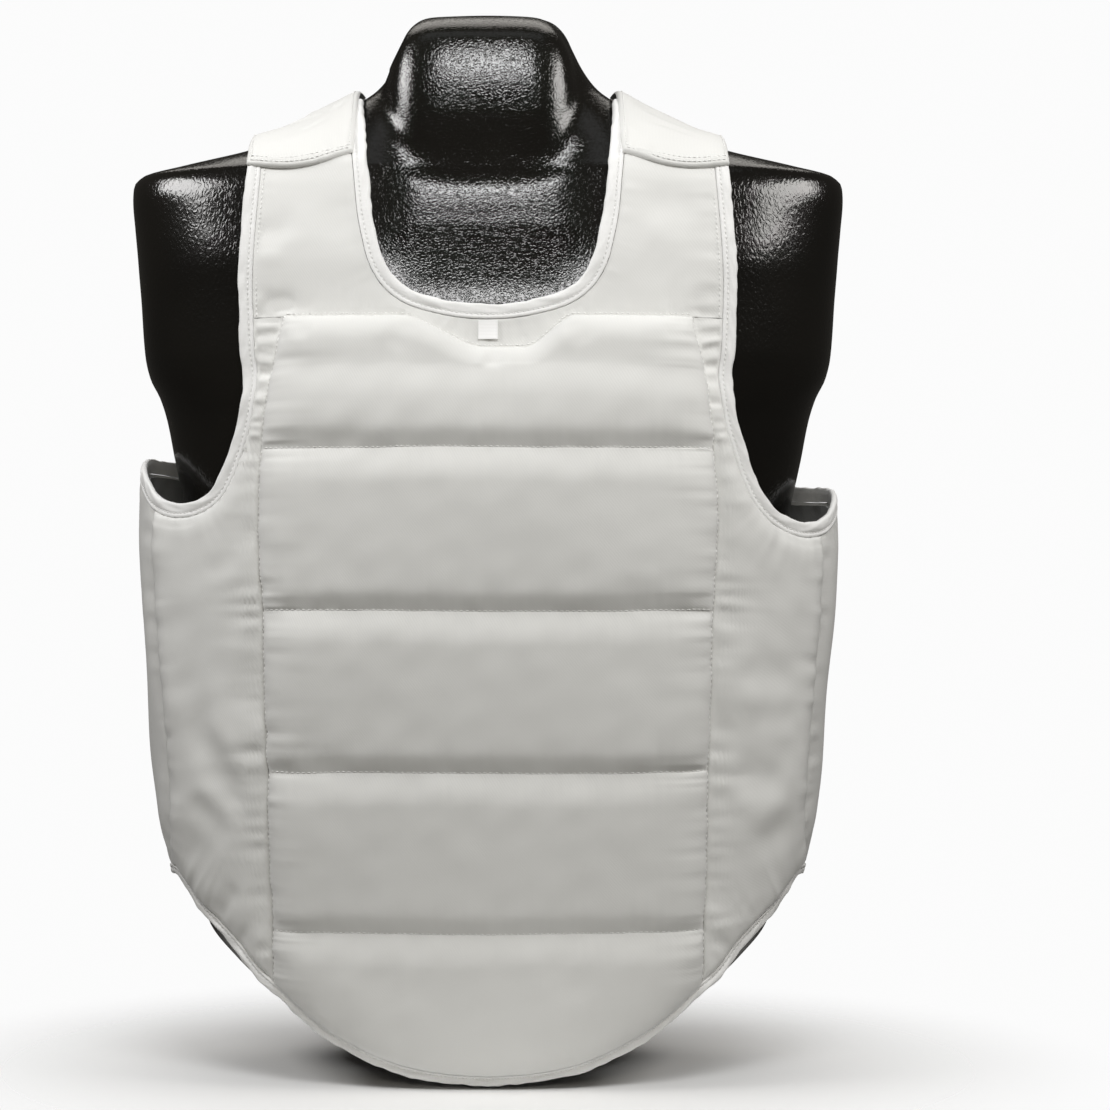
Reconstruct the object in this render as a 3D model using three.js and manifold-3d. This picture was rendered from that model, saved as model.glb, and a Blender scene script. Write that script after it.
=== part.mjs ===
// A padded chest protector for karate, worn on a smooth torso form that stands on its flat base.
// Millimetres, +Z up. The chest faces -Y and the wearer's left is +X. The origin is the middle of the base.
//
// Every sheet of the garment is a wall that follows one smooth surface, a little way outside the form:
// an outline is given by short tables, laid on that surface, filled with a grid and given its thickness.

import * as THREE from "three";
import Module from "manifold-3d";
import { mergeVertices } from "three/addons/utils/BufferGeometryUtils.js";

const wasm = await Module();
wasm.setup();

// ---------------------------------------------------------------------------------------------
// Driving sizes

const CLOTH = 2.6; // two layers of cover cloth with a thin felt between them
const SEAM_GAP = 0.3; // clearance between two sewn pieces
const TAPE_WIDTH = 9.5; // binding tape that folds over the neck and armhole edges
const HEM_TAPE_WIDTH = 6.5; // the same on the hem, rolled further under
const TAPE_PROUD = 0.6; // how far the tape stands over the cloth
const TAPE_UNDER = 0.5; // how far it reaches under it
const PAD_THICKNESS = 17; // foam block of a channel, cover included
const PAD_SEAM = 4.5; // what is left of it under a quilting seam
const WING_THICKNESS = 8; // soft foam in the side panels
const STRAP_CLEARANCE = 2; // air between the form and the straps
const PIVOT_HEIGHT = 470; // height of the line about which the straps' angles are measured

// ---------------------------------------------------------------------------------------------
// The torso form, as level rings from its base to the top of its neck.
// half: half width. front, back: reach from the middle plane. power: 2 is an ellipse, more is squarer.

const FORM_RINGS = [
  { z: 0, half: 72, front: 72, back: 72, power: 2.0 },
  { z: 20, half: 103, front: 84, back: 88, power: 2.0 },
  { z: 44, half: 136, front: 95, back: 100, power: 2.05 },
  { z: 70, half: 164, front: 103, back: 108, power: 2.15 },
  { z: 92, half: 181, front: 109, back: 113, power: 2.25 },
  { z: 112, half: 187, front: 111, back: 115, power: 2.3 },
  { z: 135, half: 188, front: 111, back: 115, power: 2.3 },
  { z: 180, half: 184, front: 109, back: 112, power: 2.3 },
  { z: 240, half: 178, front: 107, back: 106, power: 2.3 },
  { z: 300, half: 183, front: 111, back: 107, power: 2.3 },
  { z: 350, half: 194, front: 115, back: 111, power: 2.35 },
  { z: 390, half: 203, front: 117, back: 113, power: 2.4 },
  { z: 418, half: 208.5, front: 116, back: 113, power: 2.5 },
  { z: 431, half: 212.6, front: 115, back: 112, power: 2.6 },
  { z: 444, half: 219, front: 113, back: 111, power: 2.65 },
  { z: 457, half: 222, front: 111.5, back: 110.5, power: 2.7 },
  { z: 496, half: 225, front: 107, back: 108, power: 2.7 },
  { z: 511, half: 226.3, front: 105.4, back: 107, power: 2.7 },
  { z: 522, half: 227.2, front: 103.2, back: 106, power: 2.7 },
  { z: 540, half: 228.9, front: 98.2, back: 103.6, power: 2.7 },
  { z: 560, half: 230.5, front: 92.3, back: 100, power: 2.7 },
  { z: 568, half: 230, front: 89.5, back: 97.5, power: 2.65 },
  { z: 574, half: 225, front: 87, back: 95, power: 2.6 },
  { z: 580, half: 203, front: 83, back: 91.5, power: 2.55 },
  { z: 590, half: 161, front: 75, back: 84, power: 2.5 },
  { z: 600, half: 129, front: 68, back: 77, power: 2.45 },
  { z: 610, half: 108, front: 62, back: 70, power: 2.4 },
  { z: 620, half: 89, front: 58, back: 64, power: 2.45 },
  { z: 631, half: 72, front: 55, back: 60, power: 2.7 },
  { z: 643, half: 62.3, front: 53, back: 57, power: 3.0 },
  { z: 656, half: 55.4, front: 50, back: 56, power: 3.2 },
  { z: 665, half: 51.2, front: 46, back: 54, power: 3.2 },
  { z: 671, half: 46.8, front: 40, back: 50, power: 3.1 },
  { z: 676, half: 40.3, front: 29, back: 44, power: 2.8 },
  { z: 679.5, half: 22.5, front: 13, back: 34, power: 2.4 },
  { z: 681, half: 9, front: 4, back: 20, power: 2.2 },
];

// The neck stands out of the rings as a flat-fronted column, and the throat below it is hollowed.

const NECK_COLUMN = [
  { z: 530, reach: 55, half: 62 },
  { z: 556, reach: 69, half: 62 },
  { z: 570, reach: 70.2, half: 62 },
  { z: 600, reach: 69.7, half: 62 },
  { z: 610, reach: 69.3, half: 62 },
  { z: 617, reach: 68.5, half: 62 },
  { z: 625, reach: 67.2, half: 62 },
  { z: 635, reach: 65.1, half: 61 },
  { z: 645, reach: 62.4, half: 59.5 },
  { z: 655, reach: 59.2, half: 56 },
  { z: 659, reach: 57.6, half: 54 },
  { z: 662, reach: 55.7, half: 52.3 },
  { z: 665, reach: 52.6, half: 50.4 },
  { z: 668, reach: 48.2, half: 48.3 },
  { z: 671, reach: 42.6, half: 45.6 },
  { z: 676, reach: 28.5, half: 39.5 },
  { z: 681, reach: 0, half: 30 },
];
const NECK_COLUMN_FROM = 540;
const NECK_MIDDLE = -4; // the neck leans a little to the wearer's right
const NECK_SQUARENESS = 4.6;
const NECK_FILLET = 5;
const THROAT_HOLLOW = [
  { z: 484, depth: 0 },
  { z: 496, depth: 3.4 },
  { z: 511, depth: 9 },
  { z: 522, depth: 12.4 },
  { z: 540, depth: 16.4 },
  { z: 556, depth: 19 },
  { z: 566, depth: 20 },
  { z: 580, depth: 16 },
  { z: 590, depth: 10 },
  { z: 600, depth: 4.6 },
  { z: 610, depth: 1.2 },
  { z: 618, depth: 0 },
];
const THROAT_FULL_TO = 36; // half width of the hollow's floor
const THROAT_OUT_AT = 100; // half width where the hollow has run out

// The surface that the inside of the garment follows. Below the armholes it hangs clear of the form,
// and from the upper chest it lies on the form's own rings, moved out by the clearance.

const HANGING_RINGS = [
  { z: 0, half: 184, front: 111, back: 113, power: 2.4 },
  { z: 60, half: 192, front: 117, back: 117, power: 2.4 },
  { z: 122, half: 201.5, front: 121, back: 120, power: 2.4 },
  { z: 140, half: 206, front: 122, back: 120, power: 2.4 },
  { z: 165, half: 211.8, front: 123, back: 119, power: 2.4 },
  { z: 225, half: 217, front: 125, back: 117, power: 2.4 },
  { z: 265, half: 219.8, front: 125.5, back: 117, power: 2.4 },
  { z: 303, half: 222, front: 126, back: 117, power: 2.4 },
  { z: 345, half: 224.2, front: 126, back: 118, power: 2.4 },
  { z: 372, half: 223.2, front: 125.5, back: 118, power: 2.42 },
  { z: 394, half: 221.5, front: 124.5, back: 118, power: 2.45 },
  { z: 425, half: 221.5, front: 121, back: 117, power: 2.55 },
];
const UPPER_FROM = 440;
const garmentRings = [
  ...HANGING_RINGS,
  ...FORM_RINGS.filter((row) => row.z > UPPER_FROM).map((row) => ({
    z: row.z + 0.75 * STRAP_CLEARANCE,
    half: row.half + 0.75 * STRAP_CLEARANCE,
    front: row.front + STRAP_CLEARANCE,
    back: row.back + STRAP_CLEARANCE,
    power: row.power,
  })),
];

// ---------------------------------------------------------------------------------------------
// Smooth tables and the surface that they give

// A smooth function through a table's column that never overshoots its rows.
function smoothColumn(rows, column) {
  const steps = rows.slice(1).map((row, i) => row.z - rows[i].z);
  const rises = rows.slice(1).map((row, i) => (row[column] - rows[i][column]) / steps[i]);
  const slopes = rows.map((row, i) => {
    if (i === 0) return rises[0];
    if (i === rows.length - 1) return rises[i - 1];
    if (rises[i - 1] * rises[i] <= 0) return 0;
    const before = 2 * steps[i] + steps[i - 1];
    const after = steps[i] + 2 * steps[i - 1];
    return (before + after) / (before / rises[i - 1] + after / rises[i]);
  });
  return (z) => {
    if (z <= rows[0].z) return rows[0][column];
    if (z >= rows[rows.length - 1].z) return rows[rows.length - 1][column];
    const i = rows.findIndex((row) => row.z > z) - 1;
    const t = (z - rows[i].z) / steps[i];
    const near = rows[i][column] * (1 + 2 * t) * (1 - t) ** 2 + slopes[i] * steps[i] * t * (1 - t) ** 2;
    const far = rows[i + 1][column] * t * t * (3 - 2 * t) - slopes[i + 1] * steps[i] * t * t * (1 - t);
    return near + far;
  };
}

function ringSurface(rows) {
  const half = smoothColumn(rows, "half");
  const front = smoothColumn(rows, "front");
  const back = smoothColumn(rows, "back");
  const power = smoothColumn(rows, "power");
  const reach = (y, z) => (y < 0 ? front(z) : back(z));
  // Below zero inside the surface and above zero outside it.
  const level = (x, y, z) =>
    Math.abs(x / half(z)) ** power(z) + Math.abs(y / reach(y, z)) ** power(z) - 1;
  return { half, front, back, power, level };
}

const form = ringSurface(FORM_RINGS);
const garment = ringSurface(garmentRings);

const point = (x, y, z) => new THREE.Vector3(x, y, z);
const mix = (a, b, t) => a + (b - a) * t;
const clamp01 = (t) => Math.min(1, Math.max(0, t));
const smoothStep = (t) => clamp01(t) ** 2 * (3 - 2 * clamp01(t));

// The garment surface seen from the front or back at x and z, and from the side at y and z.
const depthShare = (x, z) => (1 - Math.abs(x / garment.half(z)) ** garment.power(z)) ** (1 / garment.power(z));
const onFront = (x, z) => point(x, -garment.front(z) * depthShare(x, z), z);
const onBack = (x, z) => point(x, garment.back(z) * depthShare(x, z), z);
function onSide(y, z) {
  const reach = y < 0 ? garment.front(z) : garment.back(z);
  return point(garment.half(z) * (1 - Math.abs(y / reach) ** garment.power(z)) ** (1 / garment.power(z)), y, z);
}

// Where a ray that starts inside the garment surface leaves it.
function castOut(start, direction) {
  let inside = 0;
  let outside = 320;
  const at = (d) => start.clone().addScaledVector(direction, d);
  for (let i = 0; i < 40; i++) {
    const middle = (inside + outside) / 2;
    const p = at(middle);
    if (garment.level(p.x, p.y, p.z) < 0) inside = middle;
    else outside = middle;
  }
  return at((inside + outside) / 2);
}

// A point on the strap at x: 0 degrees looks straight ahead, 90 is the shoulder's ridge, 180 the back.
function onShoulder(x, degrees) {
  const angle = THREE.MathUtils.degToRad(degrees);
  return castOut(point(x, 0, PIVOT_HEIGHT), point(0, -Math.cos(angle), Math.sin(angle)));
}

// Brings a point near the garment surface onto it, away from the garment's core.
function settle(p) {
  const up = smoothStep((p.z - 400) / 100);
  const core = point(p.x * up, 0, Math.min(p.z, PIVOT_HEIGHT));
  return castOut(core, p.clone().sub(core).normalize());
}

function normalAt(p) {
  const e = 0.5;
  const slope = (dx, dy, dz) =>
    garment.level(p.x + dx, p.y + dy, p.z + dz) - garment.level(p.x - dx, p.y - dy, p.z - dz);
  return point(slope(e, 0, 0), slope(0, e, 0), slope(0, 0, e)).normalize();
}

const mirrored = (p) => point(-p.x, p.y, p.z);

// A smooth line on the garment through a few points.
function lineThrough(points) {
  const curve = new THREE.CatmullRomCurve3(points, false, "centripetal");
  curve.arcLengthDivisions = 400;
  return (t) => settle(curve.getPointAt(clamp01(t)));
}

// The line that runs beside another at a distance along the surface. side is 1 to the left of its run
// as seen from outside, and -1 to the right.
function beside(line, distance, side) {
  return (t) => {
    const p = line(t);
    return settle(p.addScaledVector(acrossAt(line, t, side), distance));
  };
}

function acrossAt(line, t, side) {
  const ahead = line(Math.min(1, t + 0.002)).sub(line(Math.max(0, t - 0.002)));
  return normalAt(line(t)).cross(ahead).normalize().multiplyScalar(side);
}

const partOf = (line, from, to) => (t) => line(mix(from, to, t));

// The share of a line's length at which a test first turns true.
function shareWhere(line, test) {
  const steps = 400;
  for (let i = 0; i <= steps; i++) if (test(line(i / steps))) return i / steps;
  return 1;
}

// ---------------------------------------------------------------------------------------------
// Walls and tapes

// A wall on grids of cells { p, low, high }: p lies on the garment surface, and the wall runs from low to
// high outside it. Grids that share points are joined, and the wall is closed along every free edge.
function wall(grids) {
  const cells = new Map();
  const faces = [];
  const key = (p) => [p.x, p.y, p.z].map((v) => Math.round(v * 200)).join();
  for (const grid of grids) {
    const ids = grid.map((row) =>
      row.map((cell) => {
        const k = key(cell.p);
        if (!cells.has(k)) cells.set(k, { ...cell, id: cells.size, n: normalAt(cell.p) });
        return cells.get(k).id;
      }),
    );
    for (let i = 0; i + 1 < ids.length; i++)
      for (let j = 0; j + 1 < ids[i].length; j++) {
        const [a, b, c, d] = [ids[i][j], ids[i][j + 1], ids[i + 1][j + 1], ids[i + 1][j]];
        faces.push([a, b, c], [a, c, d]);
      }
  }
  const list = [...cells.values()];
  const turned = faces.filter((f) => new Set(f).size === 3).map((f) => facingOut(f, list));
  const count = list.length;
  const positions = [
    ...list.flatMap((c) => c.p.clone().addScaledVector(c.n, c.high).toArray()),
    ...list.flatMap((c) => c.p.clone().addScaledVector(c.n, c.low).toArray()),
  ];
  const triangles = turned.flatMap(([a, b, c]) => [a, b, c, a + count, c + count, b + count]);
  const used = new Set(turned.flatMap(([a, b, c]) => [a + "_" + b, b + "_" + c, c + "_" + a]));
  for (const edge of used) {
    const [a, b] = edge.split("_").map(Number);
    if (!used.has(b + "_" + a)) triangles.push(b, a, a + count, b, a + count, b + count);
  }
  return solid(positions, triangles);
}

function facingOut([a, b, c], list) {
  const across = list[b].p.clone().sub(list[a].p).cross(list[c].p.clone().sub(list[a].p));
  return across.dot(list[a].n) < 0 ? [a, c, b] : [a, b, c];
}

function solid(positions, triangles) {
  const geometry = new THREE.BufferGeometry();
  geometry.setAttribute("position", new THREE.Float32BufferAttribute(positions, 3));
  geometry.setIndex(triangles);
  return mergeVertices(geometry, 1e-3);
}

// A closed bar along a line, at the given shares of its length. The section is a list of
// [distance in from the edge, height].
function bar(line, side, shares, section) {
  const steps = shares.length - 1;
  const rings = shares.map((t) => {
    const across = acrossAt(line, t, side);
    return section.map(([a, h]) => {
      const p = settle(line(t).addScaledVector(across, a));
      return p.addScaledVector(normalAt(p), h);
    });
  });
  const size = rings[0].length;
  const triangles = [];
  for (let i = 0; i < steps; i++)
    for (let j = 0; j < size; j++) {
      const a = i * size + j;
      const b = i * size + ((j + 1) % size);
      triangles.push(a, b, b + size, a, b + size, a + size);
    }
  for (let j = 1; j + 1 < size; j++) {
    triangles.push(0, j + 1, j);
    const last = steps * size;
    triangles.push(last, last + j, last + j + 1);
  }
  if (side < 0) turnFaces(triangles);
  return solid(rings.flat().flatMap((p) => p.toArray()), triangles);
}

// Binding tape folded over a free edge of cloth.
const tapeOf = (width) => [
  [0, 0.4],
  [0.8, -TAPE_UNDER],
  [width, -TAPE_UNDER],
  [width, CLOTH + TAPE_PROUD],
  [1.2, CLOTH + TAPE_PROUD],
  [0, CLOTH - 0.2],
];

// Turns every triangle of a list of corners to face the other way.
function turnFaces(corners) {
  for (let i = 0; i < corners.length; i += 3) [corners[i + 1], corners[i + 2]] = [corners[i + 2], corners[i + 1]];
}

// Turns a geometry into its mirror image, with its faces still pointing out.
function mirrorGeometry(geometry) {
  const copy = geometry.clone().applyMatrix4(new THREE.Matrix4().makeScale(-1, 1, 1));
  turnFaces(copy.index.array);
  return copy;
}

const mirrorGrid = (grid) => grid.map((row) => row.map((cell) => ({ ...cell, p: mirrored(cell.p) })));

// A grid between two lines that run side by side, whose first and last rows may follow lines of their own.
function gridBetween(inner, outer, rows, columns, heights, head, foot) {
  const bend = (line, t) => (s) => {
    if (!line) return point(0, 0, 0);
    const away = (u) => line(u).sub(inner(t).lerp(outer(t), u));
    return away(s).sub(away(0).lerp(away(1), s));
  };
  const [atHead, atFoot] = [bend(head, 0), bend(foot, 1)];
  return Array.from({ length: rows + 1 }, (_, i) =>
    Array.from({ length: columns + 1 }, (_, j) => {
      const [t, s] = [i / rows, j / columns];
      const p = inner(t).lerp(outer(t), s);
      p.addScaledVector(atHead(s), 1 - t).addScaledVector(atFoot(s), t);
      return { p: settle(p), ...heights };
    }),
  );
}

// ---------------------------------------------------------------------------------------------
// Outlines of one half of the garment, each as a line from the shoulder down. The wearer's right armhole
// sits a little higher than the left one, and both are drawn here on the +X side.

const STRAP_END = 76;

// Front neckline, from the end of the front strap to the middle of the chest.
const frontNeck = lineThrough([
  onShoulder(79.5, STRAP_END),
  onShoulder(77, 60),
  onFront(73.5, 562),
  onFront(71.5, 543),
  onFront(68.5, 528),
  onFront(64.6, 514),
  onFront(57, 501.5),
  onFront(46, 493.5),
  onFront(30, 488.4),
  onFront(14, 485.6),
  onFront(0, 484.8),
]);

// Armhole, from the end of the front strap, under the arm and up the back to the shoulder's ridge.
const ARMHOLE_RAISE = { left: -1, right: 1 };
const armholeOf = (raise) =>
  lineThrough([
    onShoulder(150, STRAP_END),
    onShoulder(150, 60),
    onFront(154, 530),
    onFront(155, 495),
    onFront(153.2, 455),
    onFront(152.2, 432),
    onFront(155, 413),
    onFront(159.5, 397),
    onFront(165.5, 380 + raise),
    onFront(172, 368.5 + 2 * raise),
    onFront(182, 360.5 + 4 * raise),
    onFront(195, 357 + 6 * raise),
    onSide(-58, 360 + 8 * raise),
    onSide(-42, 368 + 10 * raise),
    onSide(-22, 377 + 10 * raise),
    onSide(10, 383 + 9.5 * raise),
    onSide(42, 383.5 + 9 * raise),
    onBack(200, 384 + 7 * raise),
    onBack(184, 396 + 3 * raise),
    onBack(168, 420),
    onBack(157, 452),
    onBack(152, 500),
    onBack(150, 545),
    onShoulder(150, 118),
    onShoulder(150, 90.2),
  ]);

// Back neckline, from the shoulder's ridge to the middle of the back.
const backNeck = lineThrough([
  onShoulder(80, 90.2),
  onShoulder(78.5, 112),
  onBack(72, 586),
  onBack(58, 570),
  onBack(38, 562),
  onBack(18, 560),
  onBack(0, 560),
]);

// Hem of the front, from the side seam down to the tip of its rounded tail.
const frontHem = lineThrough([
  onFront(198, 126),
  onFront(194.5, 124.8),
  onFront(189, 117.5),
  onFront(180.5, 106),
  onFront(171, 97),
  onFront(163, 89),
  onFront(155.5, 81),
  onFront(150, 73.5),
  onFront(143.5, 66),
  onFront(132.5, 57),
  onFront(117.6, 43.5),
  onFront(99.8, 30),
  onFront(86, 22.5),
  onFront(72, 15.5),
  onFront(54, 9),
  onFront(28, 4),
  onFront(0, 2.2),
]);

// Hem of the back, from the side seam to the middle of the back.
const backHem = lineThrough([
  onFront(198, 126),
  onSide(-20, 125),
  onSide(30, 123),
  onBack(175, 122),
  onBack(120, 121),
  onBack(60, 121),
  onBack(0, 121),
]);

// The same outlines moved in by the width of their binding tape.
const frontNeckCloth = beside(frontNeck, TAPE_WIDTH + SEAM_GAP, 1);
const backNeckCloth = beside(backNeck, TAPE_WIDTH + SEAM_GAP, -1);
const frontHemCloth = beside(frontHem, HEM_TAPE_WIDTH + SEAM_GAP, -1);
const backHemCloth = beside(backHem, HEM_TAPE_WIDTH + SEAM_GAP, 1);

// A line through a list of points that a grid's rows meet one by one.
const pointByPoint = (points) => (t) => points[Math.round(t * (points.length - 1))].clone();

// Even shares of a line, both ends included. Panels and tapes that meet along a line use the same ones.
const evenly = (from, to, steps) => Array.from({ length: steps + 1 }, (_, i) => mix(from, to, i / steps));
const chained = (runs) => runs.flatMap((run, i) => (i === 0 ? run : run.slice(1)));

const neckTurn = shareWhere(frontNeckCloth, (p) => p.z < 514);
const frontNeckRuns = { strap: evenly(0, neckTurn, 10), chest: evenly(neckTurn, 1, 10) };
const backNeckRun = evenly(0, 1, 11);
const BACK_HEM_STEPS = 20;
const SIDE_SEAM_STEPS = 14;

// ---------------------------------------------------------------------------------------------
// Padded front panel: one cover quilted into five channels

const QUILT_SEAMS = [395.5, 296, 197, 98.5];
const PAD_HALF_WIDTHS = [
  { z: 60, half: 131.5 },
  { z: 98.5, half: 131.6 },
  { z: 142, half: 133 },
  { z: 197, half: 134.5 },
  { z: 241, half: 135.7 },
  { z: 296, half: 137.6 },
  { z: 352, half: 140 },
  { z: 395.5, half: 138.5 },
  { z: 425, half: 135.5 },
  { z: 475, half: 127 },
];
const padHalf = smoothColumn(PAD_HALF_WIDTHS, "half");

// Its top edge dips in the middle to follow the neckline.
const PAD_TOP = 477.5;
const PAD_SCOOP = 20;
const padTop = (x) => PAD_TOP - PAD_SCOOP * (1 - smoothStep((Math.abs(x) - 9) / 44));

// The height of the tail's cloth edge under each x, found along its hem.
const hemSamples = Array.from({ length: 161 }, (_, i) => frontHemCloth(i / 160));
function hemHeight(x) {
  const i = hemSamples.findIndex((p) => p.x <= Math.abs(x));
  if (i <= 0) return hemSamples[hemSamples.length - 1].z;
  const [a, b] = [hemSamples[i - 1], hemSamples[i]];
  return mix(a.z, b.z, (a.x - Math.abs(x)) / Math.max(1e-6, a.x - b.x));
}

// How full the foam is at a distance from a seam: a round shoulder, then nearly flat.
const fullness = (distance, radius) => Math.sqrt(1 - (1 - clamp01(distance / radius)) ** 2);

const CHANNEL_ROWS = [0, 0.04, 0.13, 0.29, 0.5, 0.71, 0.87, 0.96, 1];
const PAD_COLUMNS = [0, 0.1, 0.2, 0.3, 0.42, 0.6, 0.77, 0.88, 0.95, 1];
const padShares = [...PAD_COLUMNS.slice(1).reverse().map((u) => -u), ...PAD_COLUMNS];

function padGrid() {
  const bounds = [padTop, ...QUILT_SEAMS.map((z) => () => z), hemHeight];
  const rows = [];
  for (let channel = 0; channel + 1 < bounds.length; channel++)
    for (const v of channel === 0 ? CHANNEL_ROWS : CHANNEL_ROWS.slice(1)) {
      const level = mix(bounds[channel](120), bounds[channel + 1](120), v);
      const half = padHalf(level) - SEAM_GAP;
      rows.push(
        padShares.map((u) => {
          const x = u * half;
          const [top, bottom] = [bounds[channel](x), bounds[channel + 1](x)];
          const z = mix(top, bottom, v);
          const toSeam = Math.min(v, 1 - v) * (top - bottom);
          const toSide = (1 - Math.abs(u)) * half;
          const crown = fullness(toSeam, 20) * fullness(toSide, 24) * (0.93 + 0.28 * v * (1 - v));
          return { p: onFront(x, z), low: 0, high: mix(PAD_SEAM, PAD_THICKNESS, crown) };
        }),
      );
    }
  return rows;
}

// ---------------------------------------------------------------------------------------------
// Side panels, with their largest creases: each runs from one point to another, seen from the front

const WING_CREASES = [
  { side: "right", x1: 184, z1: 230, x2: 150, z2: 156, width: 11, depth: 2.6 },
  { side: "right", x1: 186, z1: 180, x2: 156, z2: 148, width: 10, depth: 2.0 },
  { side: "left", x1: 146, z1: 200, x2: 182, z2: 194, width: 11, depth: 2.2 },
  { side: "left", x1: 150, z1: 262, x2: 188, z2: 250, width: 12, depth: 1.6 },
];

function creaseDepth(p, side) {
  return WING_CREASES.filter((crease) => crease.side === side).reduce((sum, crease) => {
    const along = new THREE.Vector2(crease.x2 - crease.x1, crease.z2 - crease.z1);
    const from = new THREE.Vector2(p.x - crease.x1, p.z - crease.z1);
    const t = clamp01(from.dot(along) / along.lengthSq());
    const away = from.clone().addScaledVector(along, -t).length() / crease.width;
    return sum + crease.depth * Math.exp(-away * away);
  }, 0);
}

// One half of the garment's outline: its armhole with the marks along it, and the side seam, which runs from
// the bottom of the armhole to the hem.
function halfOf(side) {
  const armhole = armholeOf(ARMHOLE_RAISE[side]);
  const armholeCloth = beside(armhole, TAPE_WIDTH + SEAM_GAP, -1);
  const padCorner = shareWhere(armholeCloth, (p) => p.z < PAD_TOP);
  const frontTurn = shareWhere(armholeCloth, (p) => p.z < 406);
  const seamTop = shareWhere(armholeCloth, (p) => p.x > 209 && p.y < 0);
  const backTurn = shareWhere(armholeCloth, (p) => p.y > 60 && p.z > 430);
  const runs = {
    strap: evenly(0, padCorner, 10),
    chest: evenly(padCorner + 0.0006, frontTurn, 7),
    front: evenly(frontTurn, seamTop, 9),
    under: evenly(seamTop, backTurn, 13),
    back: evenly(backTurn, 1, 15),
  };
  const sideSeam = lineThrough([
    armholeCloth(seamTop),
    onFront(208, 305),
    onFront(203.5, 250),
    onFront(199.5, 195),
    onFront(198, 158),
    frontHemCloth(0).lerp(backHemCloth(0), 0.5),
  ]);
  return { side, armhole, armholeCloth, runs, sideSeam };
}
const halves = { left: halfOf("left"), right: halfOf("right") };

const shiftedBack = (line, dy) => (t) => {
  const p = line(t);
  return onSide(p.y + dy, p.z);
};

const padSideFoot = shareWhere(frontHemCloth, (p) => p.x < padHalf(p.z) + 1);
const WING_TURN_HEIGHT = 396; // where the grid turns from beside the armhole to under it

function wingGrids({ side, armholeCloth, runs, sideSeam }) {
  const padSide = (from, to) => (t) => {
    const z = mix(from, to, t);
    return onFront(padHalf(z) + SEAM_GAP, z);
  };
  const chestEdge = pointByPoint(runs.chest.map(armholeCloth));
  const upper = gridBetween(padSide(PAD_TOP - SEAM_GAP, WING_TURN_HEIGHT), chestEdge, runs.chest.length - 1, 3);
  const seam = shiftedBack(sideSeam, -SEAM_GAP / 2);
  const upperFoot = upper[upper.length - 1].map((cell) => cell.p);
  const top = [...upperFoot, ...runs.front.slice(1, -1).map(armholeCloth), seam(0)];
  const hem = [...evenly(padSideFoot, 0, top.length - 1).slice(0, -1).map(frontHemCloth), seam(1)];
  const lower = gridBetween(
    pointByPoint(top),
    pointByPoint(hem),
    top.length - 1,
    SIDE_SEAM_STEPS,
    {},
    padSide(WING_TURN_HEIGHT, hem[0].z),
    seam,
  );
  const sewn = [upper[0], upper.map((row) => row[0]), lower[0], lower[lower.length - 1]];
  const hemEdge = lower.map((row) => row[SIDE_SEAM_STEPS]);
  const edge = [
    ...[...sewn, hemEdge].flat().map((cell) => cell.p),
    ...chained([runs.chest, runs.front]).map(armholeCloth),
  ];
  const dress = ({ p }) => {
    const toEdge = Math.min(...edge.map((q) => q.distanceTo(p)));
    const fold = creaseDepth(p, side) * fullness(toEdge, 18);
    return { p, low: 0, high: mix(CLOTH, WING_THICKNESS, fullness(toEdge, 26)) - fold };
  };
  return [upper, lower].map((grid) => grid.map((row) => row.map(dress)));
}

// ---------------------------------------------------------------------------------------------
// Front yoke: the plain cloth round the neck and the two front straps, cut in one

const PLAIN = { low: 0, high: CLOTH };

function yokeGrid({ armholeCloth, runs }) {
  const half = padHalf(PAD_TOP) - SEAM_GAP;
  const lowerEdge = [...PAD_COLUMNS].reverse().map((u) => onFront(u * half, padTop(u * half) + 0.4));
  const outer = pointByPoint([...runs.strap.map(armholeCloth), ...lowerEdge]);
  const inner = pointByPoint(chained([frontNeckRuns.strap, frontNeckRuns.chest]).map(frontNeckCloth));
  const rows = frontNeckRuns.strap.length + frontNeckRuns.chest.length - 2;
  const grid = gridBetween(inner, outer, rows, 5, PLAIN);
  const middle = grid[rows].map((cell) => ({ ...cell, p: onFront(0, cell.p.z) }));
  return [...grid.slice(0, rows), middle];
}

// ---------------------------------------------------------------------------------------------
// Back panel, cut in one with the back straps

const BACK_TURN_HEIGHT = 430; // level of the armholes' lower ends on the back

function backGrids({ armholeCloth, runs, sideSeam }) {
  const middle = (from, to, steps) => evenly(from, to, steps).map((z) => onBack(0, z));
  const neckFoot = backNeckCloth(1).z;
  const inner = [...backNeckRun.map(backNeckCloth).slice(0, -1), ...middle(neckFoot, BACK_TURN_HEIGHT, 4)];
  const outer = [...runs.back].reverse().map(armholeCloth);
  const upper = gridBetween(pointByPoint(inner), pointByPoint(outer), inner.length - 1, 7, PLAIN);
  const seam = shiftedBack(sideSeam, SEAM_GAP / 2);
  const under = [...runs.under].reverse().slice(1, -1).map(armholeCloth);
  const top = [...upper[inner.length - 1].map((cell) => cell.p), ...under, seam(0)];
  const hem = [...evenly(1, 0, BACK_HEM_STEPS).slice(0, -1).map(backHemCloth), seam(1)];
  const lower = gridBetween(
    pointByPoint(top),
    pointByPoint(hem),
    BACK_HEM_STEPS,
    SIDE_SEAM_STEPS,
    PLAIN,
    (t) => onBack(0, mix(BACK_TURN_HEIGHT, hem[0].z, t)),
    seam,
  );
  const centred = (cell) => (Math.abs(cell.p.x) < 0.1 ? { ...cell, p: onBack(0, cell.p.z) } : cell);
  return [upper, lower].map((grid) => grid.map((row) => row.map(centred)));
}

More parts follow.
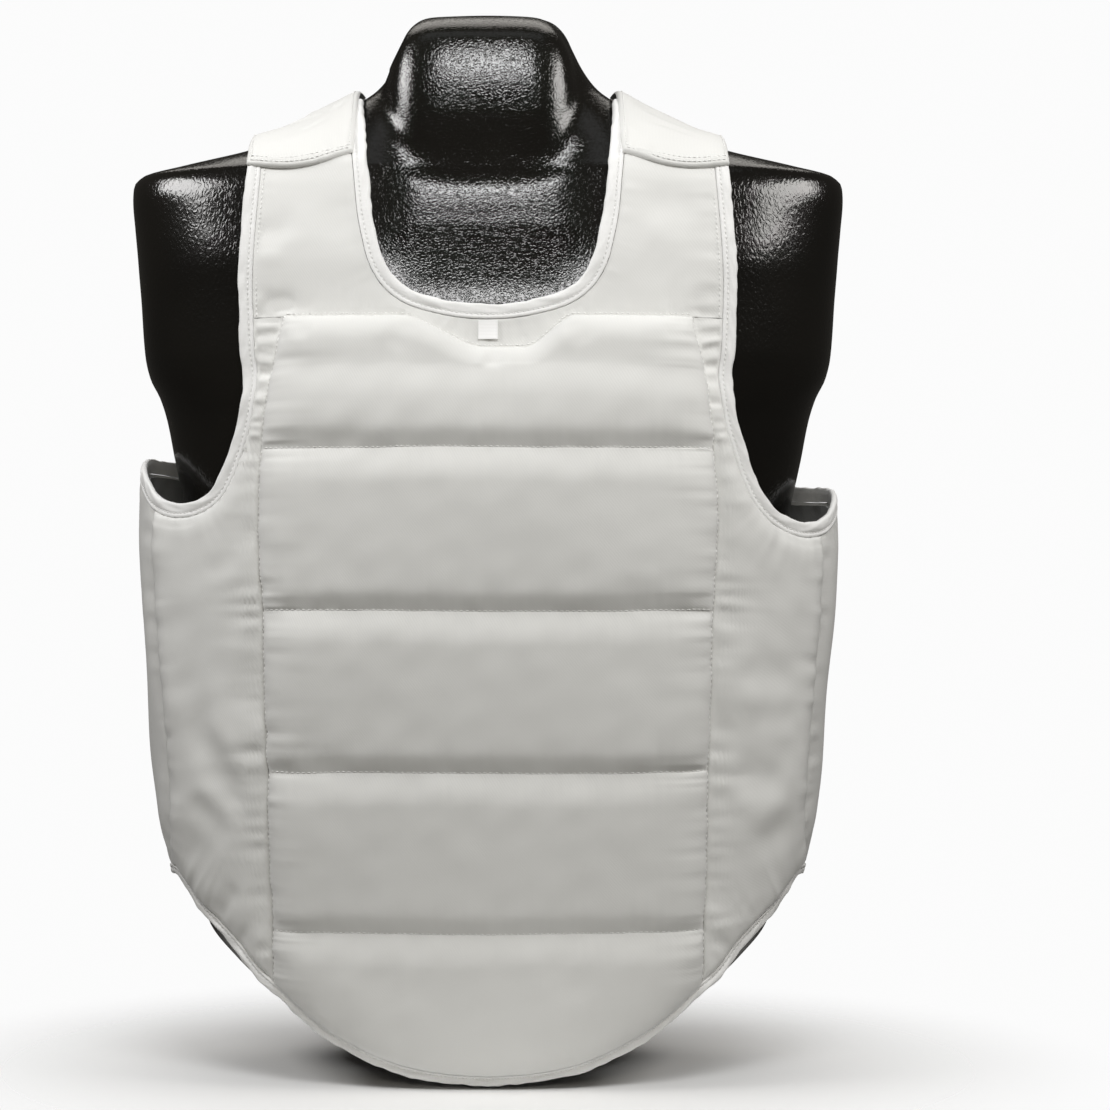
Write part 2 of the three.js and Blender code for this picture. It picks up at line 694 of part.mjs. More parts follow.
// ---------------------------------------------------------------------------------------------
// Shoulder flaps: the ends of the back straps, which come over the shoulder and close on the front straps

const FLAP_LIFT = CLOTH + TAPE_PROUD + 0.5;
const FLAP_THICKNESS = 2.8;
const FLAP_START = 89.8; // degrees round the shoulder, as is its end
const FLAP_END = 53;

function flapGrid() {
  const rows = 12;
  const columns = 6;
  return Array.from({ length: rows + 1 }, (_, i) =>
    Array.from({ length: columns + 1 }, (_, j) => {
      const t = i / rows;
      const s = j / columns;
      const bow = 3 * Math.sin(Math.PI * s) * t;
      const degrees = mix(FLAP_START, FLAP_END, t) - bow;
      const p = onShoulder(mix(mix(79.5, 84, t), 150.5, s), degrees);
      const low = FLAP_LIFT * smoothStep((FLAP_START - degrees) / 9);
      return { p, low, high: low + FLAP_THICKNESS };
    }),
  );
}

// ---------------------------------------------------------------------------------------------
// Lining that shows through the armholes, and the woven label under the neck

const LINING = { low: -2.1, high: -0.9 };
const LINING_FOOT = 262;
const LINING_BACK = 84;

function liningGrid({ armhole }) {
  const edge = beside(armhole, TAPE_WIDTH + 2, -1);
  const from = shareWhere(edge, (p) => p.x > 178);
  const to = shareWhere(edge, (p) => p.y > LINING_BACK && p.z < 420);
  const top = partOf(edge, from, to);
  const foot = (t) => onSide(Math.min(top(t).y, LINING_BACK), LINING_FOOT);
  return gridBetween(top, foot, 16, 5, LINING);
}

function labelGrid() {
  const [halfWidth, top, bottom] = [6, 474.7, 462.7];
  return [top, (top + bottom) / 2, bottom].map((z) =>
    [-1, -0.33, 0.33, 1].map((u) => ({ p: onFront(u * halfWidth, z), low: CLOTH + SEAM_GAP, high: CLOTH + 1.1 })),
  );
}

// ---------------------------------------------------------------------------------------------
// Torso form: one closed body with a slot for a hanging hook in the top of its neck

const FORM_LEVELS = [
  0, 12, 26, 44, 66, 90, 112, 140, 185, 240, 290, 335, 370, 398, 418, 431, 444, 457, 480, 510, 540, 560, 568, 574,
  577, 580, 585, 591, 600, 610, 620, 631, 643, 656, 665, 671, 676, 679.5, 681,
];
// Directions of a ring's points from the front, in degrees, closer together across the neck and throat.
const FORM_TURNS = [
  0, 2.2, 5.2, 8.6, 12.5, 16.8, 21, 30, 40, 50, 60, 70, 80, 90, 100, 110, 120, 130, 140, 150, 160, 170, 180, 190, 200,
  210, 220, 230, 240, 250, 260, 270, 280, 290, 300, 310, 320, 330, 339, 343.2, 347.5, 351.4, 354.8, 357.8,
];
const FORM_SIDES = FORM_TURNS.length;
const SLOT = { width: 29, across: 3.6, depth: 9, x: -5, y: -28.5, top: 682 };

const columnReach = smoothColumn(NECK_COLUMN, "reach");
const columnHalf = smoothColumn(NECK_COLUMN, "half");
const throatDepth = smoothColumn(THROAT_HOLLOW, "depth");

// Turns a point on the front of a ring into one on the throat or on the neck column.
function withNeckAndThroat(x, y, z) {
  const inward = smoothStep((THROAT_OUT_AT - Math.abs(x)) / (THROAT_OUT_AT - THROAT_FULL_TO));
  const throat = y + throatDepth(z) * inward;
  const offMiddle = Math.min(Math.abs(x - NECK_MIDDLE) / columnHalf(z), 1);
  const column = -columnReach(z) * (1 - offMiddle ** NECK_SQUARENESS) ** (1 / NECK_SQUARENESS);
  if (z <= NECK_COLUMN_FROM || column === 0) return throat;
  return (throat + column - Math.hypot(throat - column, NECK_FILLET)) / 2;
}

function formBody() {
  const positions = [];
  for (const z of FORM_LEVELS)
    for (const turn of FORM_TURNS) {
      const angle = THREE.MathUtils.degToRad(turn);
      const [s, c] = [Math.sin(angle), Math.cos(angle)];
      const share = 2 / form.power(z);
      const reach = c > 0 ? form.front(z) : form.back(z);
      const x = Math.sign(s) * form.half(z) * Math.abs(s) ** share;
      const y = -Math.sign(c) * reach * Math.abs(c) ** share;
      positions.push(x, y < 0 ? withNeckAndThroat(x, y, z) : y, z);
    }
  const triangles = [];
  for (let i = 0; i + 1 < FORM_LEVELS.length; i++)
    for (let j = 0; j < FORM_SIDES; j++) {
      const a = i * FORM_SIDES + j;
      const b = i * FORM_SIDES + ((j + 1) % FORM_SIDES);
      triangles.push(a, b, b + FORM_SIDES, a, b + FORM_SIDES, a + FORM_SIDES);
    }
  const last = (FORM_LEVELS.length - 1) * FORM_SIDES;
  for (let j = 1; j + 1 < FORM_SIDES; j++) {
    triangles.push(0, j + 1, j);
    triangles.push(last, last + j, last + j + 1);
  }
  const slot = new THREE.BoxGeometry(SLOT.width, SLOT.across, 2 * SLOT.depth);
  slot.translate(SLOT.x, SLOT.y, SLOT.top);
  return subtract(solid(positions, triangles), slot);
}

function manifoldOf(geometry) {
  const bare = geometry.clone();
  bare.deleteAttribute("normal");
  bare.deleteAttribute("uv");
  const merged = mergeVertices(bare, 1e-4);
  return new wasm.Manifold(
    new wasm.Mesh({
      numProp: 3,
      vertProperties: Float32Array.from(merged.attributes.position.array),
      triVerts: Uint32Array.from(merged.index.array),
    }),
  );
}

function subtract(body, tool) {
  const mesh = manifoldOf(body).subtract(manifoldOf(tool)).getMesh();
  return solid([...mesh.vertProperties], [...mesh.triVerts]);
}

// ---------------------------------------------------------------------------------------------
// Materials and the assembled part

const finish = (color, roughness, metalness = 0) => new THREE.MeshStandardMaterial({ color, roughness, metalness });
const coverCloth = finish(0xdedfdc, 0.8);
const bindingTape = finish(0xf0f0ef, 0.85);
const liningCloth = finish(0x8f9295, 0.95);
const labelCloth = finish(0xf7f7f5, 0.6);
const formPlastic = finish(0x1b1a18, 0.4);

const part = new THREE.Group();
function add(name, geometry, material) {
  const mesh = new THREE.Mesh(geometry, material);
  mesh.name = name;
  part.add(mesh);
}
function addPair(name, make, material) {
  add(name + "_left", make(halves.left), material);
  add(name + "_right", mirrorGeometry(make(halves.right)), material);
}
// A line that runs through both halves, down the left side and back up the right, and its shares.
const acrossMiddle = (line) => (t) => (t < 0.5 ? line(2 * t) : mirrored(line(2 - 2 * t)));
const bothWays = (shares) => chained([shares.map((t) => t / 2), [...shares].reverse().map((t) => 1 - t / 2)]);

const neckTape = tapeOf(TAPE_WIDTH);
const hemTape = tapeOf(HEM_TAPE_WIDTH);
const frontNeckShares = bothWays(chained([frontNeckRuns.strap, frontNeckRuns.chest]));
const frontHemShares = bothWays(chained([evenly(0.0008, padSideFoot, 12), evenly(padSideFoot, 1, 20)]));
const backHemShares = bothWays([0.0008, ...evenly(0, 1, BACK_HEM_STEPS).slice(1)]);
const armholeShares = ({ runs }) => chained([runs.strap, runs.chest, runs.front, runs.under, runs.back]);

add("torso_form", formBody(), formPlastic);
add("pad_panel", wall([padGrid()]), coverCloth);
add("front_yoke", wall([yokeGrid(halves.left), mirrorGrid(yokeGrid(halves.right))]), coverCloth);
add("side_panel_left", wall(wingGrids(halves.left)), coverCloth);
add("side_panel_right", mirrorGeometry(wall(wingGrids(halves.right))), coverCloth);
add("back_panel", wall([...backGrids(halves.left), ...backGrids(halves.right).map(mirrorGrid)]), coverCloth);
addPair("shoulder_flap", () => wall([flapGrid()]), coverCloth);
add("neck_binding_front", bar(acrossMiddle(frontNeck), 1, frontNeckShares, neckTape), bindingTape);
add("neck_binding_back", bar(acrossMiddle(backNeck), -1, bothWays(backNeckRun), neckTape), bindingTape);
addPair("armhole_binding", (half) => bar(half.armhole, -1, armholeShares(half), neckTape), bindingTape);
add("hem_binding_front", bar(acrossMiddle(frontHem), -1, frontHemShares, hemTape), bindingTape);
add("hem_binding_back", bar(acrossMiddle(backHem), 1, backHemShares, hemTape), bindingTape);
addPair("side_lining", (half) => wall([liningGrid(half)]), liningCloth);
add("size_label", wall([labelGrid()]), labelCloth);

export default part;
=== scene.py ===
# A padded karate chest protector, worn by a smooth black torso form that stands on its flat base.
# Sizes are in millimetres, heights are measured from the base, and the chest faces -Y.

import math

import bpy
import numpy as np
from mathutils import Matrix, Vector, kdtree


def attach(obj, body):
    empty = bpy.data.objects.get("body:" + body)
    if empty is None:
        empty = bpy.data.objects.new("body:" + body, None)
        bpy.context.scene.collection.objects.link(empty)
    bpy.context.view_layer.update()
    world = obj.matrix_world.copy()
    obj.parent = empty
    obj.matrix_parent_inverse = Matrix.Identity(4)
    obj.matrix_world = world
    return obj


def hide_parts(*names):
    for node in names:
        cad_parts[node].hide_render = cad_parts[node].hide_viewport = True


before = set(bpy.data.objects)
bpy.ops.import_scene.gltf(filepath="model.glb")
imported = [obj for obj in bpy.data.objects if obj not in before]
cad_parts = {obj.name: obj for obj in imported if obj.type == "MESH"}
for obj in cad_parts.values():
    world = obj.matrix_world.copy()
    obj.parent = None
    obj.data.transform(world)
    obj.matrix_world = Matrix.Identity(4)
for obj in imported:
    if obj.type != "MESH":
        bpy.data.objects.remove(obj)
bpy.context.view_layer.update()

# ----------------------------------------------------------------------------------------------
# Studio. A level camera stands two metres in front of the chest, the floor is pale and fades into
# a white backdrop, and soft boxes hang above and beside the camera.

MM = 0.001
CAMERA_DISTANCE = 2100
CAMERA_HEIGHT = 330
CAMERA_LENS = 104.4
CAMERA_SHIFT = 0.0604
FLOOR_RADIUS = 450
FLOOR_SOLID_TO = 100
FLOOR_CLEAR_FROM = 427.5
FLOOR_SIDES = 96
FLOOR_COLOUR = (0.86, 0.86, 0.855, 1.0)
BACKDROP_WHITE = 0.97
ROOM_LIGHT = 0.04


def node(tree, kind, **settings):
    """Adds a node. A keyword names a property or an input, with _ for a space, and a socket is linked."""
    made = tree.nodes.new("ShaderNode" + kind)
    for name, value in settings.items():
        socket = made.inputs.get(name.replace("_", " "))
        if socket is None:
            setattr(made, name, value)
        elif isinstance(value, bpy.types.NodeSocket):
            tree.links.new(value, socket)
        else:
            socket.default_value = value
    return made


def blank_material(name):
    """A new material, its node tree emptied, and the output node."""
    material = bpy.data.materials.new(name)
    material.use_nodes = True
    material.node_tree.nodes.clear()
    return material, material.node_tree, material.node_tree.nodes.new("ShaderNodeOutputMaterial")


def mixture(tree, kind, factor, first, second, **settings):
    """A mix of two sockets."""
    made = node(tree, kind, Fac=factor, **settings)
    tree.links.new(first, made.inputs[1])
    tree.links.new(second, made.inputs[2])
    return made.outputs[0]


def surface(tree, output, **settings):
    """A principled shader, linked to the material's output."""
    tree.links.new(node(tree, "BsdfPrincipled", **settings).outputs[0], output.inputs["Surface"])


def add_piece(name, points, faces, material, crisp=60.0):
    """A smooth mesh object from points in millimetres, creased where it turns by more than crisp degrees."""
    mesh = bpy.data.meshes.new(name)
    mesh.from_pydata((np.asarray(points) * MM).tolist(), [], faces)
    mesh.polygons.foreach_set("use_smooth", np.ones(len(mesh.polygons), dtype=bool))
    mesh.set_sharp_from_angle(angle=math.radians(crisp))
    mesh.materials.append(material)
    made = bpy.data.objects.new(name, mesh)
    bpy.context.scene.collection.objects.link(made)
    return made


camera_data = bpy.data.cameras.new("camera")
camera_data.lens = CAMERA_LENS
camera_data.sensor_width = 36.0
camera_data.shift_x = CAMERA_SHIFT
camera_data.clip_end = 60.0
camera = bpy.data.objects.new("camera", camera_data)
camera.location = (0.0, -CAMERA_DISTANCE * MM, CAMERA_HEIGHT * MM)
camera.rotation_euler = (math.radians(90), 0.0, 0.0)
bpy.context.scene.collection.objects.link(camera)
bpy.context.scene.camera = camera
bpy.context.scene.view_settings.view_transform = "Standard"


def soft_box(name, place, target, size, power, tint, mirrored):
    """An area light aimed at a target. Unless it is mirrored, glossy surfaces don't reflect it."""
    light = bpy.data.lights.new(name, "AREA")
    light.shape = "RECTANGLE"
    light.size, light.size_y = size
    light.energy = power
    light.color = tint
    lamp = bpy.data.objects.new(name, light)
    lamp.visible_glossy = mirrored
    lamp.location = place
    lamp.rotation_euler = (Vector(target) - Vector(place)).to_track_quat("-Z", "Y").to_euler()
    bpy.context.scene.collection.objects.link(lamp)


CHEST = (0.0, -0.08, 0.50)


def soft_box_at(name, azimuth, elevation, distance, size, power, tint, mirrored=True):
    """A soft box aimed at the chest. Azimuth 0 is over the camera and 90 to its right."""
    a, e = math.radians(azimuth), math.radians(elevation)
    away = Vector((math.sin(a) * math.cos(e), -math.cos(a) * math.cos(e), math.sin(e)))
    soft_box(name, Vector(CHEST) + away * distance, CHEST, size, power, tint, mirrored)


soft_box_at("box_over", 0, 80, 1.0, (1.0, 0.36), 0.35, (0.93, 0.97, 1.0))
soft_box_at("box_front", 2, 44, 1.25, (0.5, 0.19), 4.1, (1.0, 1.0, 1.0))
soft_box_at("box_left", -76, 32, 1.2, (0.64, 0.4), 8.4, (1.0, 0.99, 0.98))
soft_box_at("box_right", 74, 29, 1.3, (0.8, 0.44), 8.2, (1.0, 0.98, 0.95))
soft_box_at("box_behind", 180, 52, 1.8, (1.6, 0.9), 6.0, (1.0, 0.96, 0.90))
soft_box_at("fill_low", 0, 8, 2.2, (0.6, 0.3), 7.9, (1.0, 0.955, 0.85), mirrored=False)
soft_box_at("fill_high", 10, 42, 1.8, (0.9, 0.5), 10.3, (0.985, 0.995, 1.0), mirrored=False)

world = bpy.data.worlds.new("room")
world.use_nodes = True
room = world.node_tree
room.nodes.clear()
room_light = node(room, "Background", Color=(ROOM_LIGHT, ROOM_LIGHT * 0.95, ROOM_LIGHT * 0.85, 1.0))
backdrop = node(room, "Background", Color=(BACKDROP_WHITE, BACKDROP_WHITE, BACKDROP_WHITE, 1.0))
seen = node(room, "LightPath")
mixed = mixture(room, "MixShader", seen.outputs["Is Camera Ray"], room_light.outputs[0], backdrop.outputs[0])
node(room, "OutputWorld", Surface=mixed)
bpy.context.scene.world = world

floor_paint, tree, output = blank_material("floor_paint")
place = node(tree, "TexCoord")
reach = node(tree, "VectorMath", operation="LENGTH")
tree.links.new(place.outputs["Object"], reach.inputs[0])
fade = node(tree, "MapRange", interpolation_type="SMOOTHSTEP", Value=reach.outputs["Value"],
            From_Min=FLOOR_SOLID_TO * MM, From_Max=FLOOR_CLEAR_FROM * MM)
paint = node(tree, "BsdfPrincipled", Roughness=0.7, Base_Color=FLOOR_COLOUR)
clear = node(tree, "BsdfTransparent")
blend = mixture(tree, "MixShader", fade.outputs["Result"], paint.outputs[0], clear.outputs[0])
tree.links.new(blend, output.inputs["Surface"])

turn = np.linspace(0, 2 * np.pi, FLOOR_SIDES + 1)[:-1]
rim = np.stack([np.cos(turn), np.sin(turn), 0 * turn], axis=1) * FLOOR_RADIUS
studio_floor = add_piece("studio_floor", rim, [list(range(len(rim)))], floor_paint)

# ----------------------------------------------------------------------------------------------
# Torso form. A hollow moulding of black plastic with a leather grain, blown in one piece: a trunk, two
# cut shoulders and a neck block, with a slot in the top of the neck for a hanging hook.

FORM_RINGS = (
    # height, half width, reach to the front, reach to the back, squareness (2 is an ellipse)
    (0, 72, 72, 72, 2.0),
    (20, 103, 84, 88, 2.0),
    (44, 136, 95, 100, 2.05),
    (70, 164, 103, 108, 2.15),
    (92, 181, 109, 113, 2.25),
    (112, 187, 111, 115, 2.3),
    (135, 188, 111, 115, 2.3),
    (180, 184, 109, 112, 2.3),
    (240, 178, 107, 106, 2.3),
    (300, 183, 111, 107, 2.3),
    (350, 194, 115, 111, 2.35),
    (390, 203, 117, 113, 2.4),
    (418, 208.5, 116, 113, 2.5),
    (431, 212.6, 115, 112, 2.6),
    (444, 219, 113, 111, 2.65),
    (457, 222, 111.5, 110.5, 2.7),
    (496, 225, 107, 108, 2.7),
    (511, 226.3, 105.4, 107, 2.7),
    (522, 227.2, 103.2, 106, 2.7),
    (540, 228.9, 98.2, 103.6, 2.7),
    (560, 230.5, 92.3, 100, 2.7),
    (568, 230, 89.5, 97.5, 2.65),
    (574, 225, 87, 95, 2.6),
    (580, 203, 83, 91.5, 2.55),
    (590, 161, 75, 84, 2.5),
    (600, 129, 68, 77, 2.45),
    (610, 108, 62, 70, 2.4),
    (620, 89, 58, 64, 2.45),
    (631, 72, 55, 60, 2.7),
    (643, 62.3, 53, 57, 3.0),
    (656, 55.4, 50, 56, 3.2),
    (665, 51.2, 46, 54, 3.2),
    (671, 46.8, 40, 50, 3.1),
    (676, 40.3, 29, 44, 2.8),
    (679.5, 22.5, 13, 34, 2.4),
    (681, 9, 4, 20, 2.2),
)
NECK_COLUMN = (
    # height, reach to the front, half width
    (530, 55, 62),
    (556, 69.0, 62),
    (570, 70.2, 62),
    (600, 69.7, 62),
    (610, 69.3, 62),
    (617, 68.5, 62),
    (625, 67.2, 62),
    (635, 65.1, 61),
    (645, 62.4, 59.5),
    (655, 59.2, 56),
    (659, 57.6, 54),
    (662, 55.7, 52.3),
    (665, 52.6, 50.4),
    (668, 48.2, 48.3),
    (671, 42.6, 45.6),
    (676, 28.5, 39.5),
    (681, 0, 30),
)
NECK_MIDDLE = -4
NECK_SQUARENESS = 4.6
THROAT_HOLLOW = (
    # height, depth
    (484, 0),
    (496, 3.4),
    (511, 9.0),
    (522, 12.4),
    (540, 16.4),
    (556, 19.0),
    (566, 20.0),
    (580, 16.0),
    (590, 10.0),
    (600, 4.6),
    (610, 1.2),
    (618, 0),
)
THROAT_FULL_TO = 36
THROAT_OUT_AT = 100
FORM_TOP = 681
FORM_ROWS = 250
FORM_SIDES = 184
NECK_COLUMN_FROM = 540
NECK_FILLET = 5
SLOT_SIZE = (29, 3.6, 18)
SLOT_PLACE = (-5, -28.5, 682)
ROUND_GRAIN_SIZE = 2.21
LONG_GRAIN_SIZE = 2.6
LONG_GRAIN_STRETCH = 2.4
ROUND_GRAIN_TO = 100
LONG_GRAIN_FROM = 160
PEBBLE_SHOULDER = 0.34


def smooth_column(rows, column):
    """A smooth function of height through one column of a table that never overshoots its rows."""
    heights = np.array([row[0] for row in rows], dtype=float)
    values = np.array([row[column] for row in rows], dtype=float)
    steps = np.diff(heights)
    rises = np.diff(values) / steps
    slopes = np.zeros_like(values)
    slopes[0], slopes[-1] = rises[0], rises[-1]
    same_way = rises[:-1] * rises[1:] > 0
    before = 2 * steps[1:] + steps[:-1]
    after = steps[1:] + 2 * steps[:-1]
    earlier = np.where(same_way, rises[:-1], 1.0)
    later = np.where(same_way, rises[1:], 1.0)
    slopes[1:-1] = np.where(same_way, (before + after) / (before / earlier + after / later), 0.0)

    def at(height):
        height = np.clip(height, heights[0], heights[-1])
        i = np.clip(np.searchsorted(heights, height, side="right") - 1, 0, len(steps) - 1)
        t = (height - heights[i]) / steps[i]
        near = values[i] * (1 + 2 * t) * (1 - t) ** 2 + slopes[i] * steps[i] * t * (1 - t) ** 2
        return near + values[i + 1] * t * t * (3 - 2 * t) - slopes[i + 1] * steps[i] * t * t * (1 - t)

    return at


class RingSurface:
    """A surface through level rings, each a rounded box given by its reach to the sides, front and back."""

    def __init__(self, rows):
        self.half, self.front, self.back, self.power = (smooth_column(rows, k) for k in (1, 2, 3, 4))

    def level(self, p):
        """Below zero inside the surface and above zero outside it."""
        x, y, z = p[..., 0], p[..., 1], p[..., 2]
        power = self.power(z)
        reach = np.where(y < 0, self.front(z), self.back(z))
        return np.abs(x / self.half(z)) ** power + np.abs(y / reach) ** power - 1


def tube_faces(rings, around):
    """The faces of a tube of rings of points, closed at both ends."""
    ids = np.arange(rings * around).reshape(rings, around)
    ahead = np.roll(ids, -1, axis=1)
    sides = np.stack([ids[:-1], ahead[:-1], ahead[1:], ids[1:]], axis=-1).reshape(-1, 4)
    return sides.tolist() + [ids[0][::-1].tolist(), ids[-1].tolist()]


form = RingSurface(FORM_RINGS)
fine_heights = np.linspace(0, FORM_TOP, 3001)
half_steps, front_steps = np.gradient(form.half(fine_heights)), np.gradient(form.front(fine_heights))
profile = np.hypot(np.gradient(fine_heights), np.hypot(half_steps, front_steps))
travel = np.cumsum(profile) - profile[0]
form_heights = np.interp(np.linspace(0, travel[-1], FORM_ROWS), travel, fine_heights)
around = np.linspace(0, 2 * np.pi, FORM_SIDES + 1)[:-1]
sine, cosine = np.sin(around), np.cos(around)
level = form_heights[:, None]
share = 2 / form.power(level)
depth = np.where(cosine > 0, form.front(level), form.back(level))
form_x = np.sign(sine) * form.half(level) * np.abs(sine) ** share
form_y = -np.sign(cosine) * depth * np.abs(cosine) ** share

neck_reach, neck_half = smooth_column(NECK_COLUMN, 1)(level), smooth_column(NECK_COLUMN, 2)(level)
off_middle = np.clip(np.abs(form_x - NECK_MIDDLE) / neck_half, 0, 1)
column = -neck_reach * (1 - off_middle**NECK_SQUARENESS) ** (1 / NECK_SQUARENESS)
inward = np.clip((THROAT_OUT_AT - np.abs(form_x)) / (THROAT_OUT_AT - THROAT_FULL_TO), 0, 1)
hollow = smooth_column(THROAT_HOLLOW, 1)(level) * inward**2 * (3 - 2 * inward)
throat = form_y + hollow
joined = (throat + column - np.sqrt((throat - column) ** 2 + NECK_FILLET**2)) / 2
in_front = (form_y < 0) & (column < 0)
form_y = np.where(in_front & (level > NECK_COLUMN_FROM), joined, np.where(form_y < 0, throat, form_y))
form_points = np.stack([form_x, form_y, level + 0 * sine], axis=-1).reshape(-1, 3)
form_faces = tube_faces(FORM_ROWS, FORM_SIDES)


def maths(tree, operation, first, second=0.0):
    """The result of a sum on two sockets or numbers."""
    made = tree.nodes.new("ShaderNodeMath")
    made.operation = operation
    for socket, value in zip(made.inputs, (first, second)):
        if isinstance(value, bpy.types.NodeSocket):
            tree.links.new(value, socket)
        else:
            socket.default_value = value
    return made.outputs[0]


def noise(tree, place, scale, detail, **settings):
    """Soft random patches."""
    return node(tree, "TexNoise", Vector=place, Scale=scale, Detail=detail, **settings).outputs["Fac"]


def plus(tree, first, second, share):
    """The sum of a socket and a share of another."""
    return maths(tree, "ADD", first, maths(tree, "MULTIPLY", second, share))


def dyed(tree, factor, low_colour, high_colour, low=0.0, high=1.0):
    """A colour that runs from one to another as a factor goes from low to high."""
    ramp = node(tree, "ValToRGB", Fac=factor)
    for stop, position, colour in zip(ramp.color_ramp.elements, (low, high), (low_colour, high_colour)):
        stop.position, stop.color = position, (*colour, 1)
    return ramp.outputs[0]


form_plastic, tree, output = blank_material("grained_black_plastic")
place = node(tree, "TexCoord").outputs["Object"]
slow = noise(tree, place, 9.0, 3.0)
bent = node(tree, "TexNoise", Vector=place, Scale=260.0, Detail=2.0)
shifted = mixture(tree, "MixRGB", 0.0022, place, bent.outputs["Color"], blend_type="LINEAR_LIGHT")


def grain_cells(size, stretch):
    """Raised pebbles of the grain, stretched downwards."""
    squeezed = node(tree, "Mapping", Vector=shifted, Scale=(1.0, 1.0, 1 / stretch))
    pebbles = node(tree, "TexVoronoi", feature="DISTANCE_TO_EDGE", Vector=squeezed.outputs[0],
                   Scale=1000 / size)
    return node(tree, "MapRange", interpolation_type="SMOOTHSTEP", Value=pebbles.outputs["Distance"],
                From_Max=PEBBLE_SHOULDER).outputs[0]


sides = node(tree, "SeparateXYZ", Vector=place)
outward = node(tree, "MapRange", Value=maths(tree, "ABSOLUTE", sides.outputs["X"]),
               From_Min=ROUND_GRAIN_TO * MM, From_Max=LONG_GRAIN_FROM * MM)
pattern = mixture(tree, "MixRGB", outward.outputs[0], grain_cells(ROUND_GRAIN_SIZE, 1.0),
                  grain_cells(LONG_GRAIN_SIZE, LONG_GRAIN_STRETCH))
pores = noise(tree, place, 900.0, 4.0)
grain = plus(tree, pattern, pores, 0.05)
skin = node(tree, "Bump", Strength=0.32, Distance=0.0002, Height=grain)
tone = dyed(tree, slow, (0.0042, 0.0038, 0.0032), (0.0085, 0.0076, 0.0062), 0.3, 0.75)
gloss = node(tree, "MapRange", Value=pores, To_Min=0.11, To_Max=0.20)
surface(tree, output, Base_Color=tone, Roughness=gloss.outputs[0], Normal=skin.outputs[0],
        Specular_IOR_Level=0.55, IOR=1.6)

form_shell = add_piece("form_shell", form_points, form_faces, form_plastic, crisp=50)
cutter_corners = np.array([(x, y, z) for z in (-0.5, 0.5) for y in (-0.5, 0.5) for x in (-0.5, 0.5)])
cutter_faces = [(0, 2, 3, 1), (4, 5, 7, 6), (0, 1, 5, 4), (2, 6, 7, 3), (0, 4, 6, 2), (1, 3, 7, 5)]
hook_cutter = add_piece("hook_cutter", cutter_corners * SLOT_SIZE + SLOT_PLACE, cutter_faces, form_plastic)
slot_cut = form_shell.modifiers.new("slot", "BOOLEAN")
slot_cut.operation = "DIFFERENCE"
slot_cut.object = hook_cutter
settled = bpy.data.meshes.new_from_object(form_shell.evaluated_get(bpy.context.evaluated_depsgraph_get()))
form_shell.modifiers.clear()
form_shell.data = settled
form_shell.data.set_sharp_from_angle(angle=math.radians(50))
bpy.data.objects.remove(hook_cutter)
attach(form_shell, "root")
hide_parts("torso_form")

# ----------------------------------------------------------------------------------------------
# Back panel. White cotton and polyester twill over a thin felt, cut in one with the two back straps.
# It hangs free below the armholes, in soft flutes, and its edges are left for the binding tape.

CLOTH = 2.6
SEAM_GAP = 0.3
TAPE_WIDTH = 9.5
HEM_TAPE_WIDTH = 6.5
STRAP_CLEARANCE = 2
PIVOT_HEIGHT = 470
UPPER_FROM = 440
STRAP_END = 76
PAD_TOP = 477.5
BACK_TURN_HEIGHT = 430
FRONT_TURN_HEIGHT = 406
SEAM_TOP_REACH = 209
BEHIND_ARM = 60
FINE = 6

HANGING_RINGS = (
    # height, half width, reach to the front, reach to the back, squareness
    (0, 184, 111, 113, 2.4),
    (60, 192, 117, 117, 2.4),
    (122, 201.5, 121, 120, 2.4),
    (140, 206, 122, 120, 2.4),
    (165, 211.8, 123, 119, 2.4),
    (225, 217, 125, 117, 2.4),
    (265, 219.8, 125.5, 117, 2.4),
    (303, 222, 126, 117, 2.4),
    (345, 224.2, 126, 118, 2.4),
    (372, 223.2, 125.5, 118, 2.42),
    (394, 221.5, 124.5, 118, 2.45),
    (425, 221.5, 121, 117, 2.55),
)
OVER_FORM = np.array([0.75, 0.75, 1, 1, 0]) * STRAP_CLEARANCE
ON_FORM_RINGS = tuple(
    tuple(np.array([z, half, front, back, power]) + OVER_FORM)
    for z, half, front, back, power in FORM_RINGS
    if z > UPPER_FROM
)
garment = RingSurface(HANGING_RINGS + ON_FORM_RINGS)


def vector(x, y, z):
    return np.stack(np.broadcast_arrays(*(np.asarray(part, float) for part in (x, y, z))), axis=-1)


def mix(a, b, t):
    return a + (b - a) * t


def smooth_step(t):
    t = np.clip(t, 0, 1)
    return t * t * (3 - 2 * t)


def on_front(x, z):
    power = garment.power(z)
    return vector(x, -garment.front(z) * (1 - np.abs(x / garment.half(z)) ** power) ** (1 / power), z)


def on_back(x, z):
    power = garment.power(z)
    return vector(x, garment.back(z) * (1 - np.abs(x / garment.half(z)) ** power) ** (1 / power), z)


def on_side(y, z):
    power = garment.power(z)
    reach = np.where(np.asarray(y) < 0, garment.front(z), garment.back(z))
    return vector(garment.half(z) * (1 - np.abs(y / reach) ** power) ** (1 / power), y, z)


RAY_LENGTH = 320.0
RAY_HALVINGS = 30


def cast_out(start, direction):
    """Where rays that start inside the garment's surface leave it."""
    inside = np.zeros(start.shape[:-1] + (1,))
    outside = np.full_like(inside, RAY_LENGTH)
    for _ in range(RAY_HALVINGS):
        middle = (inside + outside) / 2
        within = garment.level(start + direction * middle)[..., None] < 0
        inside = np.where(within, middle, inside)
        outside = np.where(within, outside, middle)
    return start + direction * (inside + outside) / 2


def unit(v):
    return v / np.maximum(np.linalg.norm(v, axis=-1, keepdims=True), 1e-12)


